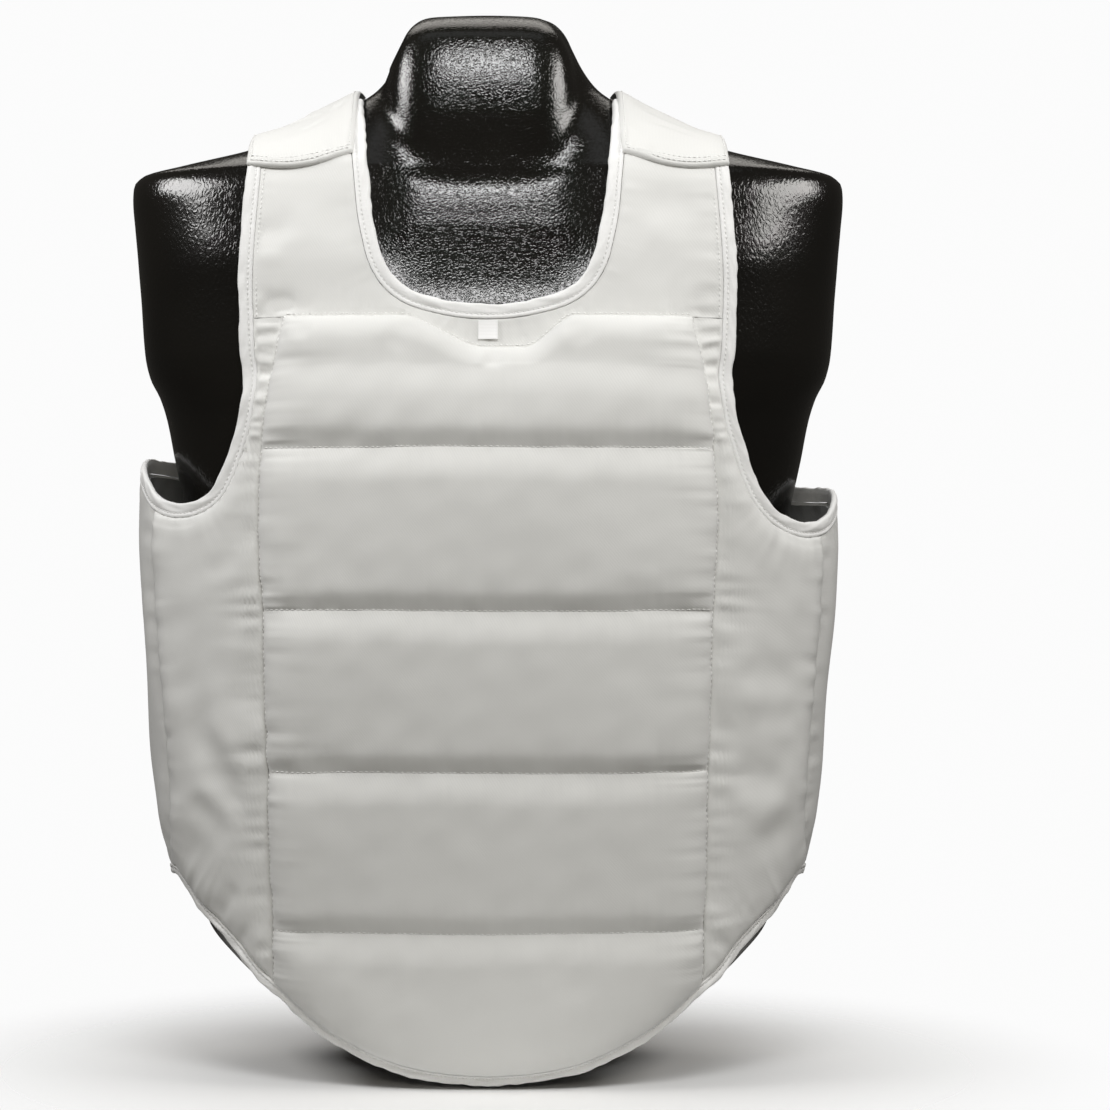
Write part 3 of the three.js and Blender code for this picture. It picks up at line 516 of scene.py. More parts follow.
def on_shoulder(x, degrees):
    """A point on a strap: 0 degrees looks straight ahead, 90 is the shoulder's ridge and 180 the back."""
    angle = np.radians(degrees)
    ray = vector(0 * angle, -np.cos(angle), np.sin(angle))
    return cast_out(vector(x + 0 * angle, 0, PIVOT_HEIGHT), ray)


def settle(p):
    """Brings points near the garment's surface onto it, away from the garment's core."""
    up = smooth_step((p[..., 2] - 400) / 100)
    core = vector(p[..., 0] * up, 0, np.minimum(p[..., 2], PIVOT_HEIGHT))
    return cast_out(core, unit(p - core))


def normal_at(p):
    e = 0.5
    return unit(np.stack([
        garment.level(p + step) - garment.level(p - step) for step in np.eye(3) * e
    ], axis=-1))


def lifted(points, height):
    """Points moved straight out from the garment's surface."""
    return points + normal_at(points) * np.asarray(height)[..., None]


def on_half(sign, points):
    """Points drawn on the +X side, moved to the half of the garment that has the sign."""
    return points * np.array([sign, 1.0, 1.0])


def travelled(points):
    """How far along a row of points each one lies."""
    return np.concatenate([[0], np.cumsum(np.linalg.norm(np.diff(points, axis=0), axis=1))])


DENSE = np.linspace(0, 1, 1601)


def line_on(shares, points):
    """A line as a function of the share of its length."""
    return lambda t: np.stack([np.interp(t, shares, points[:, k]) for k in range(3)], axis=-1)


def line_through(points):
    """A smooth line on the garment through a few points, a centripetal Catmull-Rom curve."""
    points = np.array(points)
    points = np.vstack([2 * points[0] - points[1], points, 2 * points[-1] - points[-2]])
    gaps = np.sqrt(np.linalg.norm(np.diff(points, axis=0), axis=1))
    pieces = []
    nearby = zip(points, points[1:], points[2:], points[3:], gaps, gaps[1:], gaps[2:])
    for a, b, c, d, before, between, after in nearby:
        leave = ((b - a) / before - (c - a) / (before + between) + (c - b) / between) * between
        arrive = ((c - b) / between - (d - b) / (between + after) + (d - c) / after) * between
        t = np.linspace(0, 1, 60, endpoint=False)[:, None]
        second, third = 3 * (c - b) - 2 * leave - arrive, 2 * (b - c) + leave + arrive
        pieces.append(b + leave * t + second * t**2 + third * t**3)
    curve = np.vstack(pieces + [points[-2:-1]])
    gone = travelled(curve)
    return line_on(DENSE, settle(line_on(gone / gone[-1], curve)(DENSE)))


def across_at(line, t, side):
    ahead = line(np.minimum(1, t + 0.002)) - line(np.maximum(0, t - 0.002))
    return side * unit(np.cross(normal_at(line(t)), ahead))


def beside(line, distance, side):
    """The line at a distance: side is 1 to the left of its run as seen from outside, and -1 to the right."""
    return line_on(DENSE, settle(line(DENSE) + across_at(line, DENSE, side) * distance))


def share_where(line, test):
    found = np.flatnonzero(test(line(DENSE)))
    return DENSE[found[0]] if len(found) else 1.0


ARMHOLE_RAISE = {"left": -1, "right": 1}
SIDES = (("left", 1), ("right", -1))


def armhole_of(raised):
    """From the end of the front strap, under the arm and up the back to the shoulder's ridge."""
    front = (
        # x, height, rise
        (154, 530, 0), (155, 495, 0), (153.2, 455, 0), (152.2, 432, 0), (155, 413, 0), (159.5, 397, 0),
        (165.5, 380, 1), (172, 368.5, 2), (182, 360.5, 4), (195, 357, 6))
    under = ((-58, 360, 8), (-42, 368, 10), (-22, 377, 10), (10, 383, 9.5), (42, 383.5, 9))
    back = (
        (200, 384, 7), (184, 396, 3), (168, 420, 0), (157, 452, 0), (152, 500, 0), (150, 545, 0))
    parts = (on_front, front), (on_side, under), (on_back, back)
    return line_through([
        on_shoulder(150, STRAP_END),
        on_shoulder(150, 60),
        *(place(x, z + rise * raised) for place, rows in parts for x, z, rise in rows),
        on_shoulder(150, 118),
        on_shoulder(150, 90.2),
    ])


back_neck = line_through([
    on_shoulder(80, 90.2),
    on_shoulder(78.5, 112),
    on_back(72, 586),
    on_back(58, 570),
    on_back(38, 562),
    on_back(18, 560),
    on_back(0, 560),
])
front_hem = line_through([on_front(x, z) for x, z in (
    (198, 126), (194.5, 124.8), (189, 117.5), (180.5, 106), (171, 97), (163, 89), (155.5, 81),
    (150, 73.5), (143.5, 66), (132.5, 57), (117.6, 43.5), (99.8, 30), (86, 22.5), (72, 15.5), (54, 9),
    (28, 4), (0, 2.2)
)])
back_hem = line_through([
    on_front(198, 126),
    on_side(-20, 125),
    on_side(30, 123),
    on_back(175, 122),
    on_back(120, 121),
    on_back(60, 121),
    on_back(0, 121),
])
back_neck_cloth = beside(back_neck, TAPE_WIDTH + SEAM_GAP, -1)
front_hem_cloth = beside(front_hem, HEM_TAPE_WIDTH + SEAM_GAP, -1)
back_hem_cloth = beside(back_hem, HEM_TAPE_WIDTH + SEAM_GAP, 1)


class Half:
    """The armhole and side seam of one half of the garment, both drawn on the +X side."""

    def __init__(self, side):
        self.side = side
        self.armhole = armhole_of(ARMHOLE_RAISE[side])
        self.armhole_cloth = beside(self.armhole, TAPE_WIDTH + SEAM_GAP, -1)
        self.pad_corner = share_where(self.armhole_cloth, lambda p: p[:, 2] < PAD_TOP)
        self.front_turn = share_where(self.armhole_cloth, lambda p: p[:, 2] < FRONT_TURN_HEIGHT)
        self.seam_top = share_where(self.armhole_cloth, lambda p: (p[:, 0] > SEAM_TOP_REACH) & (p[:, 1] < 0))
        self.back_turn = share_where(
            self.armhole_cloth, lambda p: (p[:, 1] > BEHIND_ARM) & (p[:, 2] > BACK_TURN_HEIGHT))
        self.side_seam = line_through([
            self.armhole_cloth(self.seam_top),
            on_front(208, 305),
            on_front(203.5, 250),
            on_front(199.5, 195),
            on_front(198, 158),
            mix(front_hem_cloth(0), back_hem_cloth(0), 0.5),
        ])

    def seam_moved_back(self, distance):
        p = self.side_seam(DENSE)
        return line_on(DENSE, on_side(p[:, 1] + distance, p[:, 2]))


halves = {side: Half(side) for side in ("left", "right")}


def evenly(start, end, steps):
    return np.linspace(start, end, steps + 1)


def grid_between(inner, outer, columns, head=None, foot=None):
    """A grid between two rows of points, whose first and last rows may follow lines of their own."""
    s = evenly(0, 1, columns)[:, None]
    t = evenly(0, 1, len(inner) - 1)[:, None, None]
    grid = mix(inner[:, None], outer[:, None], s)
    for line, end, weight in ((head, 0, 1 - t), (foot, -1, t)):
        if line is not None:
            away = line(s[:, 0]) - mix(inner[end], outer[end], s)
            grid = grid + (away - mix(away[0], away[-1], s)) * weight
    return settle(grid)


def away_from(points, line):
    """How far points are from a line, and how far along the line the nearest place is."""
    samples = line if isinstance(line, np.ndarray) else line(DENSE)
    gone = travelled(samples)
    tree = kdtree.KDTree(len(samples))
    for i, p in enumerate(samples):
        tree.insert(p, i)
    tree.balance()
    flat = points.reshape(-1, 3)
    found = [tree.find(p) for p in flat]
    distance = np.array([f[2] for f in found]).reshape(points.shape[:-1])
    along = gone[np.array([f[1] for f in found])].reshape(points.shape[:-1])
    return distance, along


def wander(along, spacing, seed):
    """Smooth random numbers from -1 to 1 along a line, with a new one every spacing."""
    knots = np.random.default_rng(seed).uniform(-1, 1, 997)
    place = along / spacing + 400
    i = np.floor(place).astype(int)
    return mix(knots[i % 997], knots[(i + 1) % 997], smooth_step(place - i))


def lumps(points, size, seed):
    """A smooth random field of about unit height whose lumps are about one size across."""
    rng = np.random.default_rng(seed)
    total = 0
    for _ in range(16):
        direction = unit(rng.normal(size=3)) * 2 * np.pi / (size * rng.uniform(1.4, 3.2))
        total = total + np.sin(points @ direction + rng.uniform(0, 2 * np.pi))
    return total / math.sqrt(8)


def puckers(distance, along, height, reach, spacing, seed):
    """Small gathers that run straight away from a seam. They start at nothing, peak and die away."""
    length = reach * (1 + 0.45 * wander(along, spacing * 2.3, seed + 1))
    rise = distance / length
    rough = wander(along, spacing, seed) + 0.45 * wander(along, spacing * 0.47, seed + 2)
    return height * rough * rise * np.exp(1 - rise)


def gathered(seams, sizes, seed, start=0):
    """The puckers of several seams, each with a height, reach and spacing, added to a start."""
    return sum((puckers(*seam, *size, seed + 3 * i)
                for i, (seam, size) in enumerate(zip(seams, sizes))), start)


def fullness(distance, radius):
    """How full a padding is at a distance from its seam: a round shoulder, then flat."""
    return np.sqrt(np.maximum(0, 1 - (1 - np.clip(distance / radius, 0, 1)) ** 2))


def creases(points, place, rows):
    """Soft troughs. A row has the start and the end as place takes them, then width, depth and bow."""
    total = np.zeros(points.shape[:-1])
    for *spots, width, depth, bow in rows:
        start, end = place(*spots[:2]), place(*spots[2:])
        run = end - start
        t = np.clip(((points - start) @ run) / (run @ run), 0, 1)
        sideways = unit(np.cross(run, normal_at(mix(start, end, 0.5))))
        nearest = start + t[..., None] * run + sideways * (bow * 4 * t * (1 - t))[..., None]
        offset = (points - nearest) @ sideways / width
        ends = smooth_step(t / 0.3) * smooth_step((1 - t) / 0.35)
        past = np.linalg.norm(points - nearest, axis=-1) / width
        lip = np.exp(-((offset - 1.5) ** 2) / 0.5) * np.exp(-np.maximum(0, past - 2) ** 2)
        trough = np.exp(-past**2) - 0.45 * lip
        total = total - depth * ends * trough
    return total


WELD_REACH = 0.02


def weld(edges, points):
    """Maps each edge point to the first one at the same place."""
    tree = kdtree.KDTree(len(edges))
    for i, index in enumerate(edges):
        tree.insert(points[index], i)
    tree.balance()
    return {int(i): int(min(edges[f[1]] for f in tree.find_range(points[i], WELD_REACH))) for i in edges}


def wall_mesh(grids, stride):
    """A closed wall from grids (base, outer, inner). Grids that share points are joined, and the inner
    side, which lies out of sight, has one face for every stride by stride faces of the outer side."""
    base = np.vstack([g[0].reshape(-1, 3) for g in grids])
    outer = np.vstack([g[1].reshape(-1, 3) for g in grids])
    inner = np.vstack([g[2].reshape(-1, 3) for g in grids])
    index, first = [], 0
    for g in grids:
        index.append(np.arange(first, first + g[0].shape[0] * g[0].shape[1]).reshape(g[0].shape[:2]))
        first += index[-1].size
    edges = np.unique(np.concatenate([np.concatenate([i[0], i[-1], i[:, 0], i[:, -1]]) for i in index]))
    first_of = np.arange(len(base))
    for a, b in weld(edges, base).items():
        first_of[a] = b
    normals = normal_at(base)

    def cells(i):
        quads = np.stack([i[:-1, :-1], i[:-1, 1:], i[1:, 1:], i[1:, :-1]], axis=-1).reshape(-1, 4)
        a, b, c = (base[quads[:, k]] for k in (0, 1, 3))
        turned = np.einsum("ij,ij->i", np.cross(b - a, c - a), normals[quads[:, 0]]).sum() < 0
        return first_of[quads[:, ::-1] if turned else quads]

    outside = np.vstack([cells(i) for i in index])
    inside = np.vstack([cells(i[::stride, ::stride]) for i in index])
    on_stride = set(first_of[np.concatenate([i[::stride, ::stride].ravel() for i in index])].tolist())
    count = len(base)

    def tidy(quads):
        kept = []
        for quad in quads.tolist():
            corners = [v for k, v in enumerate(quad) if v != quad[k - 1]]
            if len(set(corners)) > 2:
                kept.append(corners)
        return kept

    outside, inside = tidy(outside), tidy(inside)
    directed = {(a, b) for face in outside for a, b in zip(face, face[1:] + face[:1])}
    following = {a: b for a, b in directed if (b, a) not in directed}
    faces = outside + [[v + count for v in face[::-1]] for face in inside]
    while following:
        start = next(v for v in following if v in on_stride)
        here, behind = start, start + count
        while here in following:
            ahead = following.pop(here)
            faces.append([ahead, here, behind])
            if ahead in on_stride:
                faces.append([ahead, behind, ahead + count])
                behind = ahead + count
            here = ahead
    used = np.unique(np.concatenate([np.array(face) for face in faces]))
    number = np.full(2 * count, -1)
    number[used] = np.arange(len(used))
    return np.vstack([outer, inner])[used], [number[face].tolist() for face in faces]


def wall_over(grid, high, low, sign=1):
    """A wall over a grid drawn on the +X side, from the heights of its outer and inner sides."""
    return [on_half(sign, points) for points in (grid, lifted(grid, high), lifted(grid, low))]


def rib_scale(width):
    """The scale of a wave texture whose ribs are about a width in millimetres across."""
    return 1000 / width / 6.3


def cover_cloth(name, colour, shade, twill):
    """Twill: fine diagonal ribs of soft yarn, a little darker where the weave is looser."""
    material, tree, output = blank_material(name)
    place = node(tree, "TexCoord").outputs["Object"]
    ribs = node(tree, "Mapping", Vector=place, Rotation=(0.0, math.radians(38), math.radians(24)))
    twill_ribs = node(tree, "TexWave", Vector=ribs.outputs[0], Scale=rib_scale(twill), Distortion=1.2,
                      Detail=2.0, Detail_Scale=2.0)
    yarns = node(tree, "Mapping", Vector=place, Rotation=(0.0, math.radians(-52), math.radians(-20)))
    yarn_ribs = node(tree, "TexWave", Vector=yarns.outputs[0], Scale=rib_scale(twill / 1.5), Distortion=2.0,
                     Detail=2.0)
    fuzz = noise(tree, place, 1400.0, 3.0)
    crossed = plus(tree, twill_ribs.outputs["Fac"], yarn_ribs.outputs["Fac"], 0.45)
    weave = plus(tree, crossed, fuzz, 0.9)
    soft = noise(tree, place, 26.0, 4.0, Roughness=0.55)
    patches = noise(tree, place, 5.5, 2.0)
    wide = node(tree, "Bump", Strength=0.35, Distance=0.0008, Height=soft)
    fine = node(tree, "Bump", Strength=0.25, Distance=0.00007, Height=weave, Normal=wide.outputs[0])
    tone = plus(tree, maths(tree, "MULTIPLY", patches, 0.55), weave, 0.05)
    dye = dyed(tree, tone, shade, colour, 0.2, 0.75)
    surface(tree, output, Base_Color=dye, Roughness=0.82, Normal=fine.outputs[0],
            Specular_IOR_Level=0.25, Sheen_Weight=0.12, Sheen_Roughness=0.5)
    return material


white_twill = cover_cloth("white_twill", (0.80, 0.80, 0.785), (0.70, 0.70, 0.685), 0.66)

BACK_CREASES = [
    # start x and height, end x and height, width, depth, bow
    (96, 470, 40, 420, 11, 1.5, 6),
    (-92, 462, -30, 405, 12, 1.6, -6),
    (130, 330, 60, 300, 12, 1.2, -5),
    (-140, 322, -48, 288, 13, 1.4, 6),
    (60, 250, -50, 236, 15, 1.2, 8),
    (112, 214, 124, 134, 13, 2.2, 4),
    (30, 226, 38, 132, 16, 2.0, -5),
    (-66, 220, -78, 133, 15, 2.4, 5),
    (-150, 236, -160, 140, 13, 1.8, -4),
    (158, 300, 172, 190, 14, 1.4, 5),
    (20, 540, 64, 528, 10, 0.8, 4),
    (-96, 540, -132, 508, 10, 0.9, -4),
]


def back_grids(half):
    upper_inner = np.vstack([
        back_neck_cloth(evenly(0, 1, 11 * FINE))[:-1],
        on_back(0, evenly(back_neck_cloth(1)[2], BACK_TURN_HEIGHT, 4 * FINE)),
    ])
    upper_outer = half.armhole_cloth(evenly(1, half.back_turn, 15 * FINE))
    upper = grid_between(upper_inner, upper_outer, 7 * FINE)
    seam = half.seam_moved_back(SEAM_GAP / 2)
    under = half.armhole_cloth(evenly(half.back_turn, half.seam_top, 13 * FINE))[1:-1]
    top = np.vstack([upper[-1], under, seam(0)])
    hem = back_hem_cloth(evenly(1, 0, len(top) - 1))
    hem[-1] = seam(1)

    def centre(s):
        return on_back(0, mix(BACK_TURN_HEIGHT, hem[0][2], s))

    lower = grid_between(top, hem, 14 * FINE, head=centre, foot=seam)
    for grid in (upper, lower):
        grid[np.abs(grid[..., 0]) < 0.1, 0] = 0
    lower[0, 0] = upper[-1, 0]
    return [upper, lower]


def dressed_back(grid, half, sign):
    """The cloth's two sides over a grid: flat at its taped edges, and moved by its flutes and creases."""
    flipped = on_half(sign, grid)
    seams = [away_from(grid, line)
             for line in (half.armhole_cloth, back_hem_cloth, half.side_seam, back_neck_cloth)]
    to_hem = seams[1][0]
    to_edge = np.min([distance for distance, _ in seams], axis=0)
    free = smooth_step((430 - flipped[..., 2]) / 160)
    low_hem = smooth_step((230 - flipped[..., 2]) / 110)
    x = flipped[..., 0]
    flutes = 2.2 * np.sin(x / 17.0 + 1.3 * np.sin(x / 41.0)) * low_hem
    soft = 0.9 * lumps(flipped, 42, 11) * mix(0.35, 1.0, free)
    folds = creases(flipped, on_back, BACK_CREASES) + flutes * smooth_step(to_hem / 50) + soft
    sizes = (0.5, 5, 6), (0.6, 6, 8), (0.7, 5, 7), (0.35, 5, 7)
    gathers = gathered(seams, sizes, 20 if sign > 0 else 30)
    moved = folds * smooth_step(to_edge / 22) + gathers
    moved = np.maximum(moved, mix(-0.9, -2.2, free))
    edge = 0.5 * (1 - fullness(to_edge, 3.0))
    return moved, edge


back_walls = []
for side, sign in SIDES:
    for grid in back_grids(halves[side]):
        moved, edge = dressed_back(grid, halves[side], sign)
        back_walls.append(wall_over(grid, CLOTH + moved - edge, np.clip(moved, -0.4, 2.5), sign))
back_cloth = add_piece("back_cloth", *wall_mesh(back_walls, FINE), white_twill)
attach(back_cloth, "root")
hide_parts("back_panel")

# ----------------------------------------------------------------------------------------------
# Side linings. Grey brushed cotton behind each side panel, caught under the armhole binding and loose
# at its foot, so that it shows only as you look down into the armhole.

LINING_LOW = -2.6
LINING_HIGH = -0.9
LINING_FOOT = 262
LINING_BACK = 84
LINING_FROM = 178
LINING_BELOW = 420

grey_lining = cover_cloth("grey_lining", (0.36, 0.365, 0.37), (0.24, 0.245, 0.25), 1.3)
for side, sign in SIDES:
    edge = beside(halves[side].armhole, TAPE_WIDTH + 2, -1)
    start = share_where(edge, lambda p: p[:, 0] > LINING_FROM)
    end = share_where(edge, lambda p: (p[:, 1] > LINING_BACK) & (p[:, 2] < LINING_BELOW))
    top = edge(evenly(start, end, 16 * FINE))
    foot = on_side(np.minimum(top[:, 1], LINING_BACK), LINING_FOOT)
    grid = grid_between(top, foot, 5 * FINE)
    to_top, along = away_from(grid, edge)
    crumple = 0.5 * lumps(grid, 16, 61) + 0.5 * lumps(grid, 34, 62) + puckers(to_top, along, 0.6, 8, 7, 63)
    wall = wall_over(grid, LINING_HIGH, LINING_LOW + np.clip(crumple, -1.2, 0.5), sign)
    lining = add_piece("lining_cloth_" + side, *wall_mesh([wall], 1), grey_lining)
    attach(lining, "root")
    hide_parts("side_lining_" + side)

# ----------------------------------------------------------------------------------------------
# Side panels. The same white twill over a thin soft foam, sewn to the padded panel, to the back panel
# at the side seam, and into the bindings. The foam stops short of the seams, which gather the cloth.

WING_THICKNESS = 8
WING_TURN_HEIGHT = 396
PAD_HALF_WIDTHS = (
    # height, half width
    (60, 131.5),
    (98.5, 131.6),
    (142, 133),
    (197, 134.5),
    (241, 135.7),
    (296, 137.6),
    (352, 140),
    (395.5, 138.5),
    (425, 135.5),
    (475, 127),
)
QUILT_SEAMS = (395.5, 296, 197, 98.5)
pad_half = smooth_column(PAD_HALF_WIDTHS, 1)
pad_side_foot = share_where(front_hem_cloth, lambda p: p[:, 0] < pad_half(p[:, 2]) + 1)
WING_FINE = 8
SEWN_GAP = 0.05
ROLL_DEPTH = 0.748
WING_PUCKERS = {
    # where the stitching of the padded panel draws up the narrow strip beside its top corner
    "right": [
        (150, 477.5, 120, 476.5, 4.2, 1.9, 0.8),
        (151, 466.0, 124, 467.5, 3.4, 1.5, -0.6),
        (152, 455.5, 126, 455.0, 3.6, 1.6, 0.8),
        (152, 442.5, 127, 441.5, 3.8, 1.5, -0.5),
        (152, 431.0, 129, 432.5, 2.8, 1.0, 0.4),
        (153, 421.5, 130, 421.0, 2.6, 0.9, 0.4),
        (156, 410.5, 132, 412.0, 2.8, 0.8, -0.4),
        (158, 399.0, 133, 397.5, 3.0, 1.2, 0.6),
    ],
    "left": [
        (150, 476.5, 120, 477.0, 3.8, 1.3, -0.7),
        (151, 468.0, 124, 466.5, 3.2, 1.4, 0.5),
        (152, 458.0, 126, 458.5, 3.4, 1.0, -0.6),
        (152, 447.0, 127, 446.0, 3.0, 1.2, 0.5),
        (152, 436.5, 129, 437.5, 3.2, 0.8, -0.5),
        (153, 424.0, 130, 423.5, 2.8, 0.9, 0.4),
        (156, 411.5, 132, 411.0, 2.6, 0.7, 0.4),
        (158, 398.5, 133, 397.5, 3.0, 1.1, -0.5),
    ],
}

WING_CREASES = {
    "right": [
        (185, 352, 207, 357, 2.2, 1.1, -1.5),
        (207, 351, 208, 341, 2.2, 0.7, 0),
        (184, 230, 150, 156, 11, 2.4, 5),
        (186, 180, 156, 148, 9, 2.0, 4),
        (188, 262, 168, 214, 13, 1.0, -4),
        (152, 128, 170, 104, 8, 1.1, 2),
        (149, 330, 176, 322, 7, 0.5, 3),
    ],
    "left": [
        (182, 351, 206, 355.5, 2.0, 0.9, -1.5),
        (184, 345.5, 205, 349, 2.0, 0.5, -1.5),
        (146, 200, 184, 192, 11, 2.0, 4),
        (150, 262, 190, 246, 12, 1.4, -4),
        (160, 236, 192, 232, 9, 0.8, 3),
        (190, 170, 160, 150, 10, 1.4, -3),
        (150, 116, 168, 104, 8, 0.9, 2),
    ],
}


def pad_edge(z, side):
    """Half width of the padded panel, whose side seam is drawn in a little by each gather."""
    seed = 180 if side == "left" else 190
    return pad_half(z) + 0.5 * wander(z, 11, seed) + 0.35 * wander(z, 4.6, seed + 1)


def pad_side(s, top, bottom, side):
    z = mix(top, bottom, s)
    return on_front(pad_edge(z, side) + SEAM_GAP / 2, z)


def wing_grids(half):
    chest = half.armhole_cloth(evenly(half.pad_corner + 0.0006, half.front_turn, 7 * WING_FINE))
    inner = pad_side(evenly(0, 1, len(chest) - 1), PAD_TOP - SEWN_GAP, WING_TURN_HEIGHT, half.side)
    upper = grid_between(inner, chest, 3 * WING_FINE)
    seam = half.seam_moved_back(-SEAM_GAP / 2)
    front = half.armhole_cloth(evenly(half.front_turn, half.seam_top, 9 * WING_FINE))[1:-1]
    top = np.vstack([upper[-1], front, seam(0)])
    hem = front_hem_cloth(evenly(pad_side_foot, 0, len(top) - 1))
    hem[-1] = seam(1)

    def beside_pad(s):
        return pad_side(s, WING_TURN_HEIGHT, hem[0][2], half.side)

    lower = grid_between(top, hem, 14 * WING_FINE, head=beside_pad, foot=seam)
    return [upper, lower]


def near_seam_ends(z, spread):
    """Peaks at 1 beside the ends of the quilting seams, where the stitching pulls hardest."""
    return sum(np.exp(-(((z - seam) / spread) ** 2)) for seam in QUILT_SEAMS)


for side, sign in SIDES:
    half = halves[side]
    walls = []
    seam_line = pad_side(evenly(0, 1, 900), PAD_TOP, 60, side)
    for grid in wing_grids(half):
        seams = [away_from(grid, line)
                 for line in (seam_line, half.armhole_cloth, half.side_seam, front_hem_cloth)]
        to_pad, to_arm, to_seam, to_hem = (distance for distance, _ in seams)
        z = grid[..., 2]
        full = fullness(to_pad, 24) * fullness(to_arm, 13) * fullness(to_seam, 15) * fullness(to_hem, 20)
        full = full * smooth_step((PAD_TOP - z) / 70)
        seed = 100 if sign > 0 else 140
        pull = 0.85 + 0.4 * near_seam_ends(z, 9)
        drawn_up = creases(grid, on_front, WING_PUCKERS[side])
        drawn_up = drawn_up * smooth_step(to_pad / 2.2) * smooth_step(to_arm / 3)
        beside_pad = puckers(*seams[0], 0.95, 5.5, 4.6, seed) * pull + drawn_up
        sizes = (0.45, 6, 5.5), (0.55, 6, 8), (0.7, 7, 7)
        gathers = gathered(seams[1:], sizes, seed + 3, beside_pad)
        soft = 0.45 * lumps(grid, 30, seed + 12) + 0.2 * lumps(grid, 12, seed + 13)
        folds = creases(grid, on_front, WING_CREASES[side])
        height = mix(CLOTH, WING_THICKNESS, full) + (folds + soft) * smooth_step(full * 1.2) + gathers
        roll = ROLL_DEPTH * np.exp(-(((to_arm - 4.2) / 1.3) ** 2)) * smooth_step((grid[..., 0] - 172) / 14)
        walls.append(wall_over(grid, np.maximum(height - roll, 1.6), 0, sign))
    wing = add_piece("side_cloth_" + side, *wall_mesh(walls, WING_FINE), white_twill)
    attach(wing, "root")
    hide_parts("side_panel_" + side)

# ----------------------------------------------------------------------------------------------
# Padded front panel. One cover of white twill over five blocks of foam, quilted straight across
# between them, with a dipped top edge under the neckline and a rounded tail.

PAD_THICKNESS = 17
PAD_SEAM = 4.5
QUILTED_TO = 11.9
TOP_ROUNDING = 17
TAIL_ROUNDING = 42
SIDE_ROUNDING = 24
CHANNEL_RISE = 21
CHANNEL_TUCK = 10.5
PAD_SCOOP = 20
CHANNEL_ROWS = 56
PAD_COLUMNS = 112

hem_samples = front_hem_cloth(DENSE)[::-1]


def pad_top(x):
    """The top edge: it dips in the middle, more gradually on the wearer's right."""
    slow = np.clip((-x - 5) / 45, 0, 1)
    slow = mix(slow, smooth_step(slow), 0.55)
    return PAD_TOP - PAD_SCOOP * (1 - np.where(x < 0, slow, smooth_step((x - 22) / 32)))


def hem_height(x):
    return np.interp(np.abs(x), hem_samples[:, 0], hem_samples[:, 2])


def seam_height(seam, x):
    """A quilting seam, which strays a little from a straight line."""
    return seam + 0.5 * wander(x, 38, int(seam)) + 0.18 * wander(x, 9, int(seam) + 1)


CHANNELS = 5
TAIL = CHANNELS - 1
PAD_EDGES = [pad_top] + [lambda x, seam=seam: seam_height(seam, x) for seam in QUILT_SEAMS] + [hem_height]
PAD_CREASES = [
    (4, 459, 2, 438, 5, 1.3, 0),
    (-46, 474, -58, 452, 7, 0.8, 2),
    (49, 474, 60, 456, 7, 0.8, -2),
    (-121, 474, -104, 466, 5, 0.7, 2),
    (121, 473, 102, 467, 5, 0.6, -2),
    (-112, 402, -70, 404, 8, 0.7, 2),
    (104, 303, 72, 307, 8, 0.6, 2),
    (-118, 210, -88, 206, 9, 0.7, 2),
    (40, 90, 62, 60, 12, 0.7, 4),
    (-70, 80, -60, 44, 12, 0.6, -4),
]


def pad_height(x, z, channel):
    """How far the cover stands from the garment's surface at x and z in one channel."""
    top, bottom = PAD_EDGES[channel](x), PAD_EDGES[channel + 1](x)
    half = np.where(x > 0, pad_edge(z, "left"), pad_edge(z, "right")) - SEAM_GAP / 2
    from_top, from_bottom = top - z, z - bottom
    to_side = half - np.abs(x)
    v = np.clip(from_top / (top - bottom), 0, 1)
    quilted = (QUILTED_TO - PAD_SEAM) / (PAD_THICKNESS - PAD_SEAM)
    rise = np.sin(np.pi / 2 * np.clip(from_top / CHANNEL_RISE, 0, 1))
    under = from_bottom / CHANNEL_TUCK
    under = (1 + under - np.sqrt((1 - under) ** 2 + 0.12)) / 2
    upper = fullness(from_top, TOP_ROUNDING) if channel == 0 else mix(quilted, 1, rise)
    lower = fullness(from_bottom, TAIL_ROUNDING) if channel == TAIL else mix(quilted, 1, under)
    crown = upper * lower * fullness(to_side, SIDE_ROUNDING)
    crown = crown * (0.955 + 0.2 * v * (1 - v))
    side_pull = 0.7 + 0.7 * np.exp(-(((z - 464) / 18) ** 2)) + 0.6 * near_seam_ends(z, 8)
    left = puckers(to_side, z, 0.6, 6.5, 4.6, 200 + channel)
    right = puckers(to_side, z, 0.6, 6.5, 4.6, 220 + channel)
    gathers = np.where(x > 0, left, right) * side_pull
    gathers = gathers + puckers(from_top, x, 0.28, 7, 7.5, 240 + channel)
    gathers = gathers + puckers(from_bottom, x, 0.34, 8, 8.5, 260 + channel)
    place = on_front(x, z)
    soft = 0.26 * lumps(place, 44, 281) + 0.12 * lumps(place, 13, 282)
    sewn_down = fullness(to_side, 4) * (fullness(from_top, 5) if channel == 0 else 1)
    low = mix(CLOTH + 0.1, PAD_SEAM, sewn_down)
    folds = (soft + creases(place, on_front, PAD_CREASES)) * smooth_step(crown * 1.1)
    return mix(low, PAD_THICKNESS, crown) + gathers + folds


def pad_point(x, z, channel):
    return lifted(on_front(x, z), pad_height(x, z, channel))


